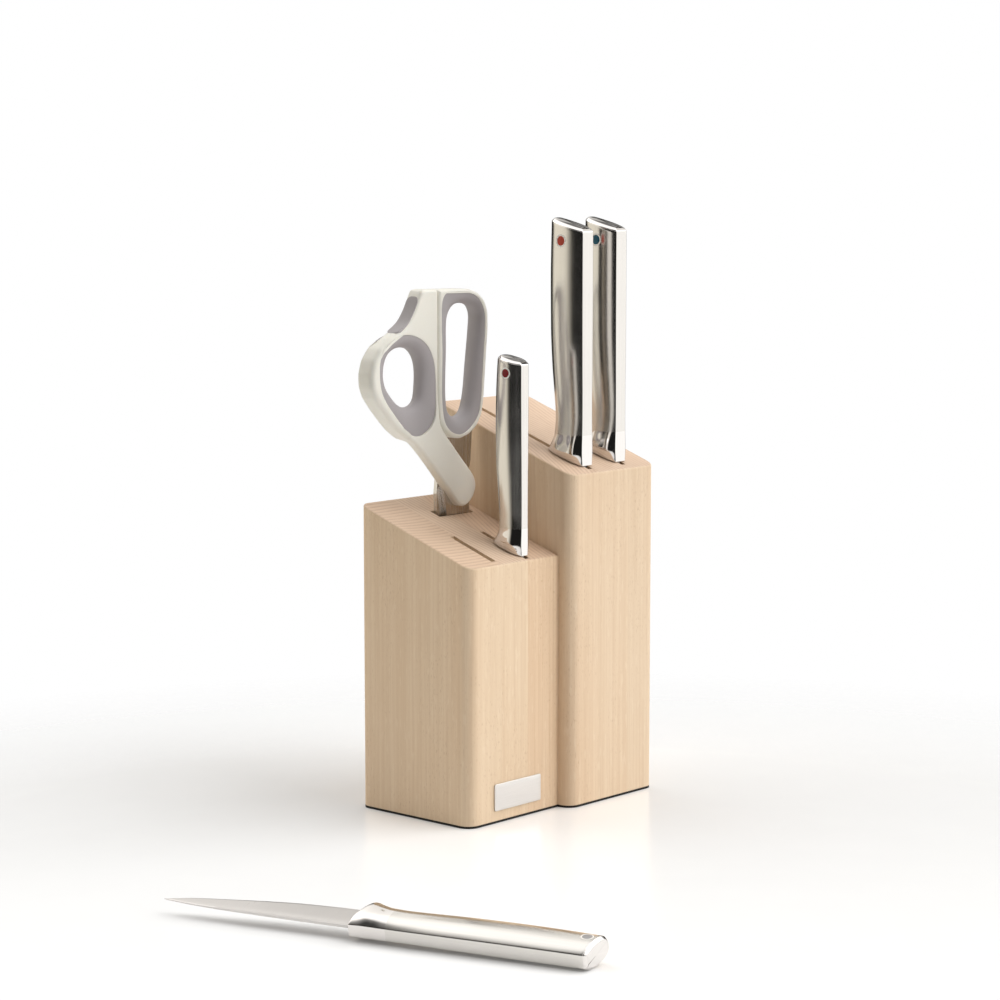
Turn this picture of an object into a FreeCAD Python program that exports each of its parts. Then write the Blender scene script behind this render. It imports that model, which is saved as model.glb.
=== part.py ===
# Knife block with four knives and scissors.
# Two beech blocks of different height stand side by side on one anti-slip pad.
# Frame: +X to the right along the front, +Y to the back, +Z up.
# Origin: on the underside of the base pad, at the joint between the two blocks,
# half way through their depth.  Millimetres.
import FreeCAD, Part
import math
import os

V = FreeCAD.Vector
os.makedirs("parts", exist_ok=True)

# ---------------------------------------------------------------- block
LOW_W = 70.5            # lower block, width along X (left of the joint)
LOW_Y0, LOW_Y1 = -39.6, 39.7
LOW_Z0 = 136.7          # height of the lower block at its front face
TALL_W = 71.5           # tall block, width along X (right of the joint)
TALL_Y0, TALL_Y1 = -48.2, 48.5
TALL_Z0 = 180.0         # height of the tall block at its front face
SLOPE = 0.351           # rise of both tops towards the back
PAD_T = 1.1             # thickness of the base pad
R_FRONT_LEFT = 7.0      # vertical corner radii
R_OTHER = 6.0
SLOT_W = 3.2            # width of a knife slot

X_EMPTY = -46.6         # slot centre planes
X_PARING = -23.0
X_CHEF = 21.5
X_SANTOKU = 49.5
SEAM_L1 = X_EMPTY + SLOT_W / 2      # glue seams lie on one wall of each slot
SEAM_L2 = X_PARING - SLOT_W / 2
SEAM_T1 = X_CHEF + SLOT_W / 2
SEAM_T2 = X_SANTOKU - SLOT_W / 2
SLOT_EMPTY = (-35.0, -5.5, 32.0)    # front Y, back Y, bottom Z
SLOT_PARING = (-37.5, -5.0, 42.0)
SLOT_CHEF = (-43.4, 36.3, 12.0)
SLOT_SANTOKU = (-43.4, 4.0, 36.0)
SCISSOR_SLOT_X = (-33.6, -6.6)
SCISSOR_SLOT_Y = (15.6, 22.4)
SCISSOR_SLOT_Z = 70.0

DOWEL_R, DOWEL_HALF = 4.0, 17.0
DOWELS = ((-20.0, 30.0), (20.0, 40.0), (-20.0, 110.0))   # Y, Z

PLATE_X = (-51.4, -14.9)
PLATE_Z = (6.6, 20.9)
PLATE_T = 0.8


def ztop(y, tall):
    if tall:
        return TALL_Z0 + SLOPE * (y - TALL_Y0)
    return LOW_Z0 + SLOPE * (y - LOW_Y0)


def box(x0, x1, y0, y1, z0, z1):
    return Part.makeBox(x1 - x0, y1 - y0, z1 - z0, V(x0, y0, z0))


def save(shape, name):
    if shape.ShapeType == "Compound" and len(shape.Solids) == 1:
        shape = shape.Solids[0]
    if not shape.isValid():
        shape = shape.removeSplitter()
    print("%-20s solids %d valid %s volume %.1f" % (name, len(shape.Solids), shape.isValid(), shape.Volume))
    shape.exportStep("parts/%s.step" % name)
    return shape


def vertical_fillet(solid, corners):
    """corners: (x, y, radius)"""
    for x, y, r in corners:
        edges = []
        for e in solid.Edges:
            a, b = e.Vertexes[0].Point, e.Vertexes[-1].Point
            if abs(a.x - x) < 0.01 and abs(b.x - x) < 0.01 and abs(a.y - y) < 0.01 and abs(b.y - y) < 0.01:
                edges.append(e)
        solid = solid.makeFillet(r, edges)
    return solid


def prism_block(x0, x1, y0, y1, tall):
    pts = [V(x0, y0, PAD_T), V(x0, y1, PAD_T), V(x0, y1, ztop(y1, tall)), V(x0, y0, ztop(y0, tall))]
    face = Part.Face(Part.makePolygon(pts + [pts[0]]))
    return face.extrude(V(x1 - x0, 0, 0))


low = prism_block(-LOW_W, 0.0, LOW_Y0, LOW_Y1, False)
low = vertical_fillet(low, [(-LOW_W, LOW_Y0, R_FRONT_LEFT), (-LOW_W, LOW_Y1, R_OTHER)])
tall = prism_block(0.0, TALL_W, TALL_Y0, TALL_Y1, True)
tall = vertical_fillet(tall, [(0.0, TALL_Y0, R_FRONT_LEFT), (TALL_W, TALL_Y0, R_OTHER),
                              (0.0, TALL_Y1, R_OTHER), (TALL_W, TALL_Y1, R_OTHER)])

slots = [
    box(X_EMPTY - SLOT_W / 2, X_EMPTY + SLOT_W / 2, SLOT_EMPTY[0], SLOT_EMPTY[1], SLOT_EMPTY[2], 240),
    box(X_PARING - SLOT_W / 2, X_PARING + SLOT_W / 2, SLOT_PARING[0], SLOT_PARING[1], SLOT_PARING[2], 240),
    box(X_CHEF - SLOT_W / 2, X_CHEF + SLOT_W / 2, SLOT_CHEF[0], SLOT_CHEF[1], SLOT_CHEF[2], 240),
    box(X_SANTOKU - SLOT_W / 2, X_SANTOKU + SLOT_W / 2, SLOT_SANTOKU[0], SLOT_SANTOKU[1], SLOT_SANTOKU[2], 240),
    box(SCISSOR_SLOT_X[0], SCISSOR_SLOT_X[1], SCISSOR_SLOT_Y[0], SCISSOR_SLOT_Y[1], SCISSOR_SLOT_Z, 240),
]
dowels = [Part.makeCylinder(DOWEL_R, 2 * DOWEL_HALF, V(-DOWEL_HALF, y, z), V(1, 0, 0)) for y, z in DOWELS]


def board(solid, x0, x1):
    b = solid.common(box(x0, x1, -60, 60, 0, 240))
    for s in slots + dowels:
        if s.BoundBox.XMax > x0 + 1e-6 and s.BoundBox.XMin < x1 - 1e-6:
            b = b.cut(s)
    return b


save(board(low, -LOW_W, SEAM_L1), "lower_board_left")
save(board(low, SEAM_L1, SEAM_L2), "lower_board_middle")
save(board(low, SEAM_L2, 0.0), "lower_board_right")
save(board(tall, 0.0, SEAM_T1), "tall_board_left")
save(board(tall, SEAM_T1, SEAM_T2), "tall_board_middle")
save(board(tall, SEAM_T2, TALL_W), "tall_board_right")
save(Part.makeCompound(dowels), "joining_dowels")

pad_l = box(-LOW_W, 0.0, LOW_Y0, LOW_Y1, 0, PAD_T)
pad_l = vertical_fillet(pad_l, [(-LOW_W, LOW_Y0, R_FRONT_LEFT), (-LOW_W, LOW_Y1, R_OTHER)])
pad_t = box(0.0, TALL_W, TALL_Y0, TALL_Y1, 0, PAD_T)
pad_t = vertical_fillet(pad_t, [(0.0, TALL_Y0, R_FRONT_LEFT), (TALL_W, TALL_Y0, R_OTHER),
                                (0.0, TALL_Y1, R_OTHER), (TALL_W, TALL_Y1, R_OTHER)])
save(pad_l.fuse(pad_t).removeSplitter(), "base_pad")

plate = box(PLATE_X[0], PLATE_X[1], LOW_Y0 - PLATE_T, LOW_Y0, PLATE_Z[0], PLATE_Z[1])
plate_edges = [e for e in plate.Edges if abs(e.Vertexes[0].Point.x - e.Vertexes[-1].Point.x) < 1e-6
               and abs(e.Vertexes[0].Point.z - e.Vertexes[-1].Point.z) < 1e-6]
plate = plate.makeFillet(0.8, plate_edges)
save(plate, "name_plate")

# ---------------------------------------------------------------- knives
# Local knife frame: x is the thickness, y runs from the spine (0) to the cutting edge,
# z runs from the bolster's lower tip (0) up the handle; the blade points to -z.
# Section tables: (z, thickness, width, width of the flat along the spine, fullness of the sides next to that flat)
LARGE = [(-3, 11.0, 25.4, 7.8, 3.0), (2, 14.0, 25.6, 8.2, 3.4), (7, 15.8, 25.5, 8.6, 4.0), (11, 15.0, 23.4, 8.6, 3.6),
         (17, 13.0, 21.1, 8.4, 2.6), (26, 12.2, 20.5, 8.2, 2.2), (38, 12.6, 21.3, 8.2, 2.1), (54, 13.6, 22.7, 8.5, 2.1),
         (74, 14.4, 23.6, 8.7, 2.1), (100, 14.6, 23.8, 8.8, 2.1), (136, 14.4, 23.0, 8.6, 2.1)]
SMALL = [(-3, 9.6, 20.0, 4.6, 3.0), (2, 12.2, 20.2, 4.8, 3.4), (6, 13.8, 20.2, 5.0, 4.0), (9.5, 13.0, 18.0, 5.0, 3.4),
         (14, 11.6, 16.2, 5.0, 2.6), (22, 10.9, 16.3, 5.0, 2.2), (34, 11.2, 17.2, 5.1, 2.1), (50, 12.1, 18.2, 5.3, 2.1),
         (68, 13.0, 18.3, 5.6, 2.1), (88, 13.4, 17.7, 5.8, 2.1), (110, 13.3, 16.1, 5.6, 2.1)]
MIDDLE = [(-3, 9.8, 20.4, 5.6, 3.0), (2, 12.6, 20.6, 5.8, 3.2), (7, 13.9, 20.4, 6.0, 3.2), (11, 13.6, 18.8, 6.0, 2.8),
          (16, 13.0, 17.6, 6.0, 2.4), (25, 12.6, 17.3, 6.0, 2.2), (38, 12.6, 17.9, 6.2, 2.1), (56, 12.9, 18.7, 6.4, 2.1),
          (76, 13.0, 19.1, 6.6, 2.1), (98, 12.8, 18.9, 6.6, 2.1), (124, 12.6, 17.8, 6.4, 2.1)]
CUT = SLOPE             # the bolster's underside is parallel to the block's top
SHELL_T = 1.2           # handle wall
CAP_T = 1.8             # visible depth of the polished end cap
RING_R, DOT_R = 3.5, 2.7
GAP = 0.5               # bolster above the block's top
# centre of each colour dot: below the top of the spine, and behind the spine
DOTS = {"chef": (6.4, 13.0), "santoku": (6.4, 12.1), "paring": (5.9, 8.0), "utility": (3.7, 11.2)}

# blade outlines in (y, z), from the bolster round the point and back
BLADES = {
    "chef": [(1.4, 2.0), (1.3, -60), (1.5, -105), (4.5, -128), (11.5, -148), (24.0, -166.0), (33.0, -146), (39.5, -115),
             (43.0, -75), (44.0, -35), (44.0, 1.0), (42.6, 4.0), (25.5, 5.0)],
    "santoku": [(1.4, 2.0), (1.3, -60), (2.0, -95), (8.0, -118), (19.0, -134), (33.0, -143.0), (36.5, -128), (39.0, -100),
                (40.6, -60), (41.0, -25), (41.0, 1.0), (39.6, 4.0), (25.5, 5.0)],
    "paring": [(1.2, 2.0), (1.2, -40), (2.6, -58), (6.5, -74), (13.5, -89.0), (17.0, -72), (19.4, -50), (20.3, -25),
               (20.3, -3.0), (19.6, -0.5), (17.0, 3.0)],
    "utility": [(2.8, 2.0), (2.8, -30), (3.1, -70), (4.0, -86.5), (5.3, -98.5), (9.0, -86.0), (12.7, -63.7), (15.2, -47),
                (16.8, -34), (17.8, -18), (18.2, -4.0), (17.6, 0.5), (15.5, 6.0)],
}
BLADE_T = {"chef": 2.3, "santoku": 2.1, "paring": 1.7, "utility": 1.9}
EDGE_T = 0.35


MID = 0.46              # where the section is thickest, from the spine, as a share of its width
BELLY = 2.6             # exponent of the belly's curve: 2 is an ellipse


def half_outline(T, W, flat, full):
    """(x, y) from the edge of the spine's flat over one bulging side to the middle of the belly"""
    h, a, ym = T / 2, flat / 2, MID * W
    pts = []
    for i in range(10):
        t = i / 9.0
        pts.append((a + (h - a) * (1 - (1 - t) ** full), t * ym))
    for i in range(1, 13):
        ang = math.pi / 2 * i / 12.0
        pts.append((h * max(math.cos(ang), 0.0) ** (2 / BELLY), ym + (W - ym) * math.sin(ang) ** (2 / BELLY)))
    pts[-1] = (0.0, W)
    return pts


def side_outline(T, W, flat, full):
    right = half_outline(T, W, flat, full)
    return right + [(-x, y) for x, y in reversed(right[:-1])]


def parameters():
    pts = side_outline(13.0, 20.0, 8.4, 2.2)
    acc = [0.0]
    for i in range(len(pts) - 1):
        acc.append(acc[-1] + math.hypot(pts[i + 1][0] - pts[i][0], pts[i + 1][1] - pts[i][1]))
    return acc


PARAMS = parameters()


def section_wire(row, inset=0.0):
    z, T, W, flat, full = row
    pts = side_outline(T - 2 * inset, W - 2 * inset, flat - 1.4 * inset, full)
    c = Part.BSplineCurve()
    c.interpolate(Points=[V(x, y + inset, z) for x, y in pts], Parameters=PARAMS)
    p, q = V(pts[-1][0], inset, z), V(pts[0][0], inset, z)
    return Part.Wire([c.toShape(), Part.makeLine(p, q)])


def smooth_table(table):
    """more stations between the given ones, on a monotone cubic through them"""
    zs = [r[0] for r in table]
    out = []

    def slopes(k):
        d = [(table[i + 1][k] - table[i][k]) / (zs[i + 1] - zs[i]) for i in range(len(zs) - 1)]
        m = [d[0]]
        for i in range(1, len(d)):
            m.append(0.0 if d[i - 1] * d[i] <= 0 else 2 * d[i - 1] * d[i] / (d[i - 1] + d[i]))
        m.append(d[-1])
        return m

    columns = [(k, slopes(k)) for k in (1, 2, 3, 4)]
    for i in range(len(zs) - 1):
        h = zs[i + 1] - zs[i]
        parts = 3 if zs[i + 1] <= 26 else 2
        for j in range(parts):
            t = j / float(parts)
            h00, h10 = 2 * t ** 3 - 3 * t ** 2 + 1, t ** 3 - 2 * t ** 2 + t
            h01, h11 = -2 * t ** 3 + 3 * t ** 2, t ** 3 - t ** 2
            row = [zs[i] + t * h]
            for k, m in columns:
                row.append(h00 * table[i][k] + h10 * h * m[i] + h01 * table[i + 1][k] + h11 * h * m[i + 1])
            out.append(tuple(row))
    out.append(table[-1])
    return out


def handle_body(table, inset=0.0):
    return Part.makeLoft([section_wire(row, inset) for row in smooth_table(table)], True, True)


def below_plane(z_at_y0, slope, depth=400.0):
    """half space under the plane z = z_at_y0 + slope*y"""
    y0, y1 = -60.0, 120.0
    pts = [V(-60, y0, z_at_y0 + slope * y0), V(-60, y1, z_at_y0 + slope * y1), V(-60, y1, -depth), V(-60, y0, -depth)]
    return Part.Face(Part.makePolygon(pts + [pts[0]])).extrude(V(120, 0, 0))


def make_knife(name, table, spine_top, top_slope, collar, tang_len):
    """all pieces of a knife in its local frame"""
    outer = handle_body(table)
    inner = handle_body(table, SHELL_T)
    under = below_plane(0.0, CUT)
    top = below_plane(spine_top, top_slope)
    cap_plane = below_plane(spine_top - CAP_T, top_slope)
    outer = outer.cut(under).common(top)
    lower = box(-60, 60, -60, 120, -60, collar)
    t = BLADE_T[name]
    width = table[0][2]

    # blade outline, with the tang that runs up into the handle
    outline = [V(0, y, z) for y, z in BLADES[name]]
    curve = Part.BSplineCurve()
    n = len(outline)
    tip = max(range(n), key=lambda i: -outline[i].z)
    spine = Part.BSplineCurve()
    spine.interpolate(outline[:tip + 1])
    belly_pts = outline[tip:n - 2]
    belly = Part.BSplineCurve()
    belly.interpolate(belly_pts)
    back = [outline[n - 3], outline[n - 2], outline[n - 1]]
    ty0, ty1 = width * 0.30, width * 0.62
    tail = back + [V(0, ty1, back[-1].z), V(0, ty1, tang_len), V(0, ty0, tang_len), V(0, ty0, outline[0].z), outline[0]]
    edges = [spine.toShape(), belly.toShape()] + [Part.makeLine(tail[i], tail[i + 1]) for i in range(len(tail) - 1)]
    face = Part.Face(Part.Wire(edges))
    plate = face.extrude(V(t, 0, 0))
    plate.translate(V(-t / 2, 0, 0))
    # hollow ground: both sides fall in towards the cutting edge below the bolster
    ymax = max(p.y for p in outline)
    grind_from = ymax * 0.30
    for s in (1, -1):
        pts = [V(s * t / 2, grind_from, 0), V(s * EDGE_T / 2, ymax + 0.5, 0), V(s * (t / 2 + 3), ymax + 0.5, 0),
               V(s * (t / 2 + 3), grind_from, 0)]
        wedge = Part.Face(Part.makePolygon(pts + [pts[0]])).extrude(V(0, 0, -400))
        wedge.translate(V(0, 0, min(p.z for p in back) - 0.5))
        plate = plate.cut(wedge)
    blade = plate

    bolster = outer.common(lower).cut(blade)
    shell = outer.cut(lower).common(cap_plane)
    core = inner.cut(box(-60, 60, -60, 120, -60, collar))
    shell = shell.cut(core)
    cap = outer.cut(cap_plane)
    plug = inner.common(cap_plane).cut(below_plane(spine_top - CAP_T - 4.0, top_slope)).cut(lower)
    cap = cap.fuse(plug).removeSplitter()

    # colour dot and its ring run right through the handle near its top
    zt, yc = spine_top - DOTS[name][0], DOTS[name][1]
    ring_r = RING_R if table is LARGE else RING_R * 0.86
    dot_r = DOT_R if table is LARGE else DOT_R * 0.86
    rod = Part.makeCylinder(ring_r, 40, V(-20, yc, zt), V(1, 0, 0))
    dot_rod = Part.makeCylinder(dot_r, 40, V(-20, yc, zt), V(1, 0, 0))
    ring = outer.common(rod).cut(dot_rod)
    dot = outer.common(dot_rod)
    shell = shell.cut(rod)
    cap = cap.cut(rod)
    return {"blade": blade, "bolster": bolster, "handle": shell, "end_cap": cap, "dot_ring": ring, "dot": dot}


PLACEMENTS = {
    "chef": FreeCAD.Placement(V(X_CHEF, -41.3, ztop(-41.3, True) + GAP), FreeCAD.Rotation()),
    "santoku": FreeCAD.Placement(V(X_SANTOKU, -41.3, ztop(-41.3, True) + GAP), FreeCAD.Rotation()),
    "paring": FreeCAD.Placement(V(X_PARING, -36.0, ztop(-36.0, False) + GAP), FreeCAD.Rotation()),
}
# The utility knife lies on its side in front of the block, its spine to the front and rolled
# towards it; it rests on its bolster and its butt.
LIE_YAW = 107.39                      # direction from butt to point, degrees from +X
LIE_REF = V(-250.1, -157.2, 0.0)      # a point under the middle of the spine
LIE_ALONG = 21.5                      # from the bolster's lower tip to that point
LIE_ROLL = 14.0                       # edge side raised, degrees
LIE_PITCH = 0.35                      # point end raised, degrees
LIE_Z = 5.133                         # height of the middle of the spine at LIE_REF
ya, pa, ra = math.radians(LIE_YAW), math.radians(LIE_PITCH), math.radians(LIE_ROLL)
u = V(math.cos(ya), math.sin(ya), 0)                       # towards the point
side = V(math.sin(ya), -math.cos(ya), 0)                   # towards the edge
zl = V(-u.x * math.cos(pa), -u.y * math.cos(pa), -math.sin(pa))  # local +z, up the handle
up = zl.cross(side)
up.normalize()
yl = side * math.cos(ra) + up * (math.sin(ra) if up.z > 0 else -math.sin(ra))  # local +y, towards the edge
xl = yl.cross(zl)
org = LIE_REF + V(0, 0, LIE_Z) - zl * LIE_ALONG
m = FreeCAD.Matrix(xl.x, yl.x, zl.x, org.x, xl.y, yl.y, zl.y, org.y, xl.z, yl.z, zl.z, org.z, 0, 0, 0, 1)
PLACEMENTS["utility"] = FreeCAD.Placement(m)

KNIVES = {
    "chef": (LARGE, 126.5, 0.25, 16.5, 100.0),
    "santoku": (LARGE, 126.5, 0.25, 16.5, 100.0),
    "paring": (SMALL, 102.5, 0.20, 14.5, 78.0),
    "utility": (MIDDLE, 115.2, 0.20, 18.5, 90.0),
}
for name in ("chef", "santoku", "paring", "utility"):
    pieces = make_knife(name, *KNIVES[name])
    zmin = 1e9
    for k, s in pieces.items():
        s = s.copy()
        s.Placement = PLACEMENTS[name].multiply(s.Placement)
        zmin = min(zmin, s.BoundBox.ZMin)
        save(s, "%s_%s" % (name, k))
    print(name, "lowest point", round(zmin, 3))

# ---------------------------------------------------------------- scissors
# The scissors stand in their slot with their plane parallel to the front.
PIV_X, PIV_Z = -20.5, 174.0
MID_Y = 19.0                 # plane between the two blades
BLADE_W = 2.4                # blade thickness
FRONT_Y, BACK_Y = 13.0, 25.0 # depth of the loops
ARM_Y0, ARM_Y1 = 11.8, 18.85 # depth of the arm in front of the blades
LEFT_BACK_Y = 23.0           # back of the thumb half beside its notch

THUMB_OUT = [(-36.75, 277.7), (-48.9, 278.0), (-52.0, 272.4), (-55.1, 266.7), (-59.7, 261.1), (-65.7, 257.2), (-73.2, 253.3),
             (-80.2, 248.4), (-84.9, 242.4), (-87.1, 235.2), (-86.8, 228.4), (-84.2, 222.3), (-78.8, 215.8),
             (-72.8, 209.6), (-66.8, 204.0), (-60.6, 200.0), (-55.2, 196.6), (-48.5, 190.3), (-40.8, 182.2),
             (-34.4, 175.2), (-28.2, 168.6), (-24.6, 164.3), (-21.8, 161.2), (-17.6, 160.2), (-13.4, 161.8),
             (-10.0, 165.2), (-8.2, 169.4), (-8.1, 173.2), (-10.2, 177.4), (-15.0, 182.4), (-21.3, 188.9),
             (-27.6, 195.9), (-33.1, 201.5), (-36.1, 206.1), (-36.75, 211.0)]
FINGER_OUT = [(-36.35, 277.7), (-11.6, 277.2), (-4.8, 275.1), (0.4, 270.9), (3.2, 264.7), (3.3, 255.5), (2.2, 243.7),
              (1.0, 230.2), (-0.2, 216.7), (-1.9, 208.7), (-6.1, 202.6), (-12.1, 198.7), (-18.9, 197.0), (-25.2, 198.0),
              (-30.9, 201.3), (-34.8, 205.4), (-36.35, 211.0)]
THUMB_LINER = [(-81.0, 234.5), (-80.5, 241.7), (-77.8, 247.3), (-72.9, 251.4), (-66.2, 254.1), (-58.6, 254.6), (-51.0, 252.4),
               (-44.9, 248.2), (-41.1, 242.2), (-39.3, 234.6), (-39.2, 215.0), (-40.9, 208.7), (-45.5, 203.4), (-52.8, 200.9),
               (-59.7, 202.6), (-65.0, 207.8), (-71.0, 214.2), (-76.5, 220.6), (-79.8, 226.6)]
THUMB_HOLE = [(-76.0, 233.6), (-75.3, 239.0), (-72.8, 243.9), (-67.8, 247.0), (-60.8, 248.0), (-54.0, 246.4), (-49.5, 242.0),
              (-47.6, 236.2), (-47.9, 227.2), (-49.4, 220.6), (-53.0, 217.2), (-58.8, 216.3), (-65.2, 218.9), (-70.5, 223.6),
              (-74.4, 228.5)]
FINGER_LINER = [(-33.4, 214.6), (-33.5, 244.0), (-33.2, 271.8), (-30.5, 275.2), (-23.1, 275.7), (-12.8, 275.2), (-6.9, 273.2), (-2.5, 269.2),
                (0.0, 263.4), (0.1, 255.6), (-0.9, 243.8), (-2.1, 230.3), (-3.3, 216.9), (-5.0, 209.9), (-9.4, 204.3),
                (-14.6, 200.8), (-20.1, 199.4), (-26.4, 201.4), (-31.1, 206.0)]
FINGER_HOLE = [(-28.3, 221.0), (-27.6, 245.2), (-26.4, 262.2), (-22.2, 268.2), (-14.5, 269.6), (-6.0, 267.2), (-2.8, 262.0),
               (-3.8, 255.3), (-6.4, 239.3), (-9.2, 221.0), (-11.3, 213.0), (-15.5, 209.6), (-21.8, 209.0), (-26.9, 213.2)]
PAD_OUT = [(-70.6, 254.6), (-65.7, 257.2), (-59.7, 261.1), (-55.1, 266.7), (-52.0, 272.4), (-50.4, 275.2), (-47.8, 274.6),
           (-48.6, 270.8), (-52.2, 264.6), (-57.4, 258.4), (-63.6, 254.9)]
# blades in (x, z): the front blade's cutting edge is on its left, the rear blade's on its right
FRONT_BLADE = [(-27.5, 182.0), (-30.0, 172.0), (-27.4, 160.0), (-25.6, 140.0), (-23.6, 110.0), (-21.6, 80.0), (-20.2, 79.0),
               (-17.0, 92.0), (-12.6, 118.0), (-9.9, 142.0), (-9.0, 158.0), (-9.4, 170.0), (-13.0, 182.0)]
REAR_BLADE = [(-24.6, 204.0), (-25.5, 190.0), (-31.0, 178.0), (-32.2, 168.0), (-31.8, 156.0), (-30.6, 142.0), (-27.6, 118.0),
              (-23.4, 92.0), (-20.9, 79.0), (-19.6, 80.0), (-17.6, 110.0), (-15.6, 140.0), (-13.8, 160.0), (-9.0, 172.0),
              (-5.2, 184.0), (-3.8, 202.0)]
SCREW_R = 2.5
SCREW_PLAY = 0.05


def loop_wire(pts, y, smooth=True):
    if smooth:
        c = Part.BSplineCurve()
        c.interpolate(Points=[V(x, y, z) for x, z in pts], PeriodicFlag=True)
        return Part.Wire([c.toShape()])
    p = [V(x, y, z) for x, z in pts]
    return Part.makePolygon(p + [p[0]])


def extrude_loop(pts, y0, y1, smooth=True):
    return Part.Face(loop_wire(pts, y0, smooth)).extrude(V(0, y1 - y0, 0))


thumb_out = extrude_loop(THUMB_OUT, ARM_Y0, BACK_Y, False)
finger_out = extrude_loop(FINGER_OUT, FRONT_Y, BACK_Y, False)
thumb_liner_out = extrude_loop(THUMB_LINER, 0, 40)
finger_liner_out = extrude_loop(FINGER_LINER, 0, 40)
thumb_hole = extrude_loop(THUMB_HOLE, 0, 40)
finger_hole = extrude_loop(FINGER_HOLE, 0, 40)
pad_shape = extrude_loop(PAD_OUT, 0, 40, False)

# the arm is thinner than the loops: its back is cut away below the loops
arm_line_z = 203.0
arm_cut = Part.Face(Part.makePolygon([V(-80, ARM_Y1, 150), V(-80, ARM_Y1, 182), V(-60.0, ARM_Y1, 196.0), V(-36.0, ARM_Y1, 210.5),
                                      V(20, ARM_Y1, 210.5), V(20, ARM_Y1, 150), V(-80, ARM_Y1, 150)])).extrude(V(0, 40, 0))
front_trim = Part.Face(Part.makePolygon([V(-120, ARM_Y0, 214), V(-62.0, ARM_Y0, 196.5), V(-30.0, ARM_Y0, 212.0), V(20, ARM_Y0, 240),
                                         V(20, ARM_Y0, 300), V(-120, ARM_Y0, 300), V(-120, ARM_Y0, 214)])).extrude(V(0, FRONT_Y - ARM_Y0, 0))
back_trim = box(-120, -45.0, LEFT_BACK_Y, 40, 250.0, 300)
thumb_out = thumb_out.cut(back_trim)
thumb_shell = thumb_out.cut(arm_cut).cut(front_trim).cut(thumb_liner_out).cut(pad_shape)
thumb_liner = thumb_liner_out.cut(thumb_hole).common(box(-120, 60, FRONT_Y, BACK_Y, 100, 300))
notch_pad = pad_shape.common(thumb_out).common(box(-120, 60, FRONT_Y, BACK_Y, 100, 300))
finger_shell = finger_out.cut(finger_liner_out)
finger_liner = finger_liner_out.cut(finger_hole).common(box(-120, 60, FRONT_Y, BACK_Y, 100, 300))

screw_bore = Part.makeCylinder(SCREW_R + SCREW_PLAY, 60, V(PIV_X, 0, PIV_Z), V(0, 1, 0))
screw_tight = Part.makeCylinder(SCREW_R, 60, V(PIV_X, 0, PIV_Z), V(0, 1, 0))
GAPB = 0.06
front_blade = extrude_loop(FRONT_BLADE, MID_Y - GAPB - BLADE_W, MID_Y - GAPB, False)
rear_blade = extrude_loop(REAR_BLADE, MID_Y + GAPB, MID_Y + GAPB + BLADE_W, False)
# the front blade's root sits in a pocket on the back of the arm
pocket_depth = box(-120, 60, MID_Y - GAPB - BLADE_W, 40, 100, 300)
thumb_shell = thumb_shell.cut(extrude_loop(FRONT_BLADE, MID_Y - GAPB - BLADE_W, 30, False))
# screw head pocket inside the arm
HEAD_R, HEAD_T = 5.0, 1.6
head_y = MID_Y - GAPB - BLADE_W - HEAD_T
thumb_shell = thumb_shell.cut(Part.makeCylinder(HEAD_R + 0.3, HEAD_T + 0.4, V(PIV_X, head_y - 0.4, PIV_Z), V(0, 1, 0)))
front_blade = front_blade.cut(screw_bore)
rear_blade = rear_blade.cut(screw_tight)
# the rear blade's tang goes up into the finger loop
tang_pocket = extrude_loop(REAR_BLADE, MID_Y + GAPB, MID_Y + GAPB + BLADE_W, False)
finger_shell = finger_shell.cut(tang_pocket)
finger_liner = finger_liner.cut(tang_pocket)

head = Part.makeCylinder(HEAD_R, HEAD_T - 0.05, V(PIV_X, head_y, PIV_Z), V(0, 1, 0))
nut_y0 = MID_Y + GAPB + BLADE_W
shank = Part.makeCylinder(SCREW_R, nut_y0 + 1.6 - head_y, V(PIV_X, head_y, PIV_Z), V(0, 1, 0))
screw = head.fuse(shank).removeSplitter()
nut = Part.makeCylinder(4.6, 1.6, V(PIV_X, nut_y0, PIV_Z), V(0, 1, 0)).cut(screw_tight)

save(thumb_shell, "thumb_half_shell")
save(thumb_liner, "thumb_liner")
save(notch_pad, "thumb_notch_pad")
save(front_blade, "thumb_half_blade")
save(finger_shell, "finger_half_shell")
save(finger_liner, "finger_liner")
save(rear_blade, "finger_half_blade")
save(screw, "pivot_screw")
save(nut, "pivot_nut")
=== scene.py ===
import math
import bpy
import bmesh
import numpy as np
from mathutils import Matrix, Vector
from mathutils.geometry import delaunay_2d_cdt


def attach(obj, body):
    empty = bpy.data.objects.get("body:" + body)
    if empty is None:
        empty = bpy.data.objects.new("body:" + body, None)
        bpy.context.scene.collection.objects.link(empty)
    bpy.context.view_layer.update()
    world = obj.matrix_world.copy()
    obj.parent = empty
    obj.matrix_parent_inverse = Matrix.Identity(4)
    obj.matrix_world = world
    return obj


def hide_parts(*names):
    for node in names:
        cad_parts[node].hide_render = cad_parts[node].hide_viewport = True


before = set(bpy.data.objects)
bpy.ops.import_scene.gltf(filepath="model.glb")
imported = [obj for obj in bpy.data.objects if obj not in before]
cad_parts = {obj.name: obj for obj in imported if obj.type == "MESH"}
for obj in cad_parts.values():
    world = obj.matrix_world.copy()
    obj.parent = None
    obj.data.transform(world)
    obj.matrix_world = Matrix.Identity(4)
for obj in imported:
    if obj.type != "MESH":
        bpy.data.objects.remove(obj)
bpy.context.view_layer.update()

MM = 0.001
scene = bpy.context.scene
LOOSE = {}


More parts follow.
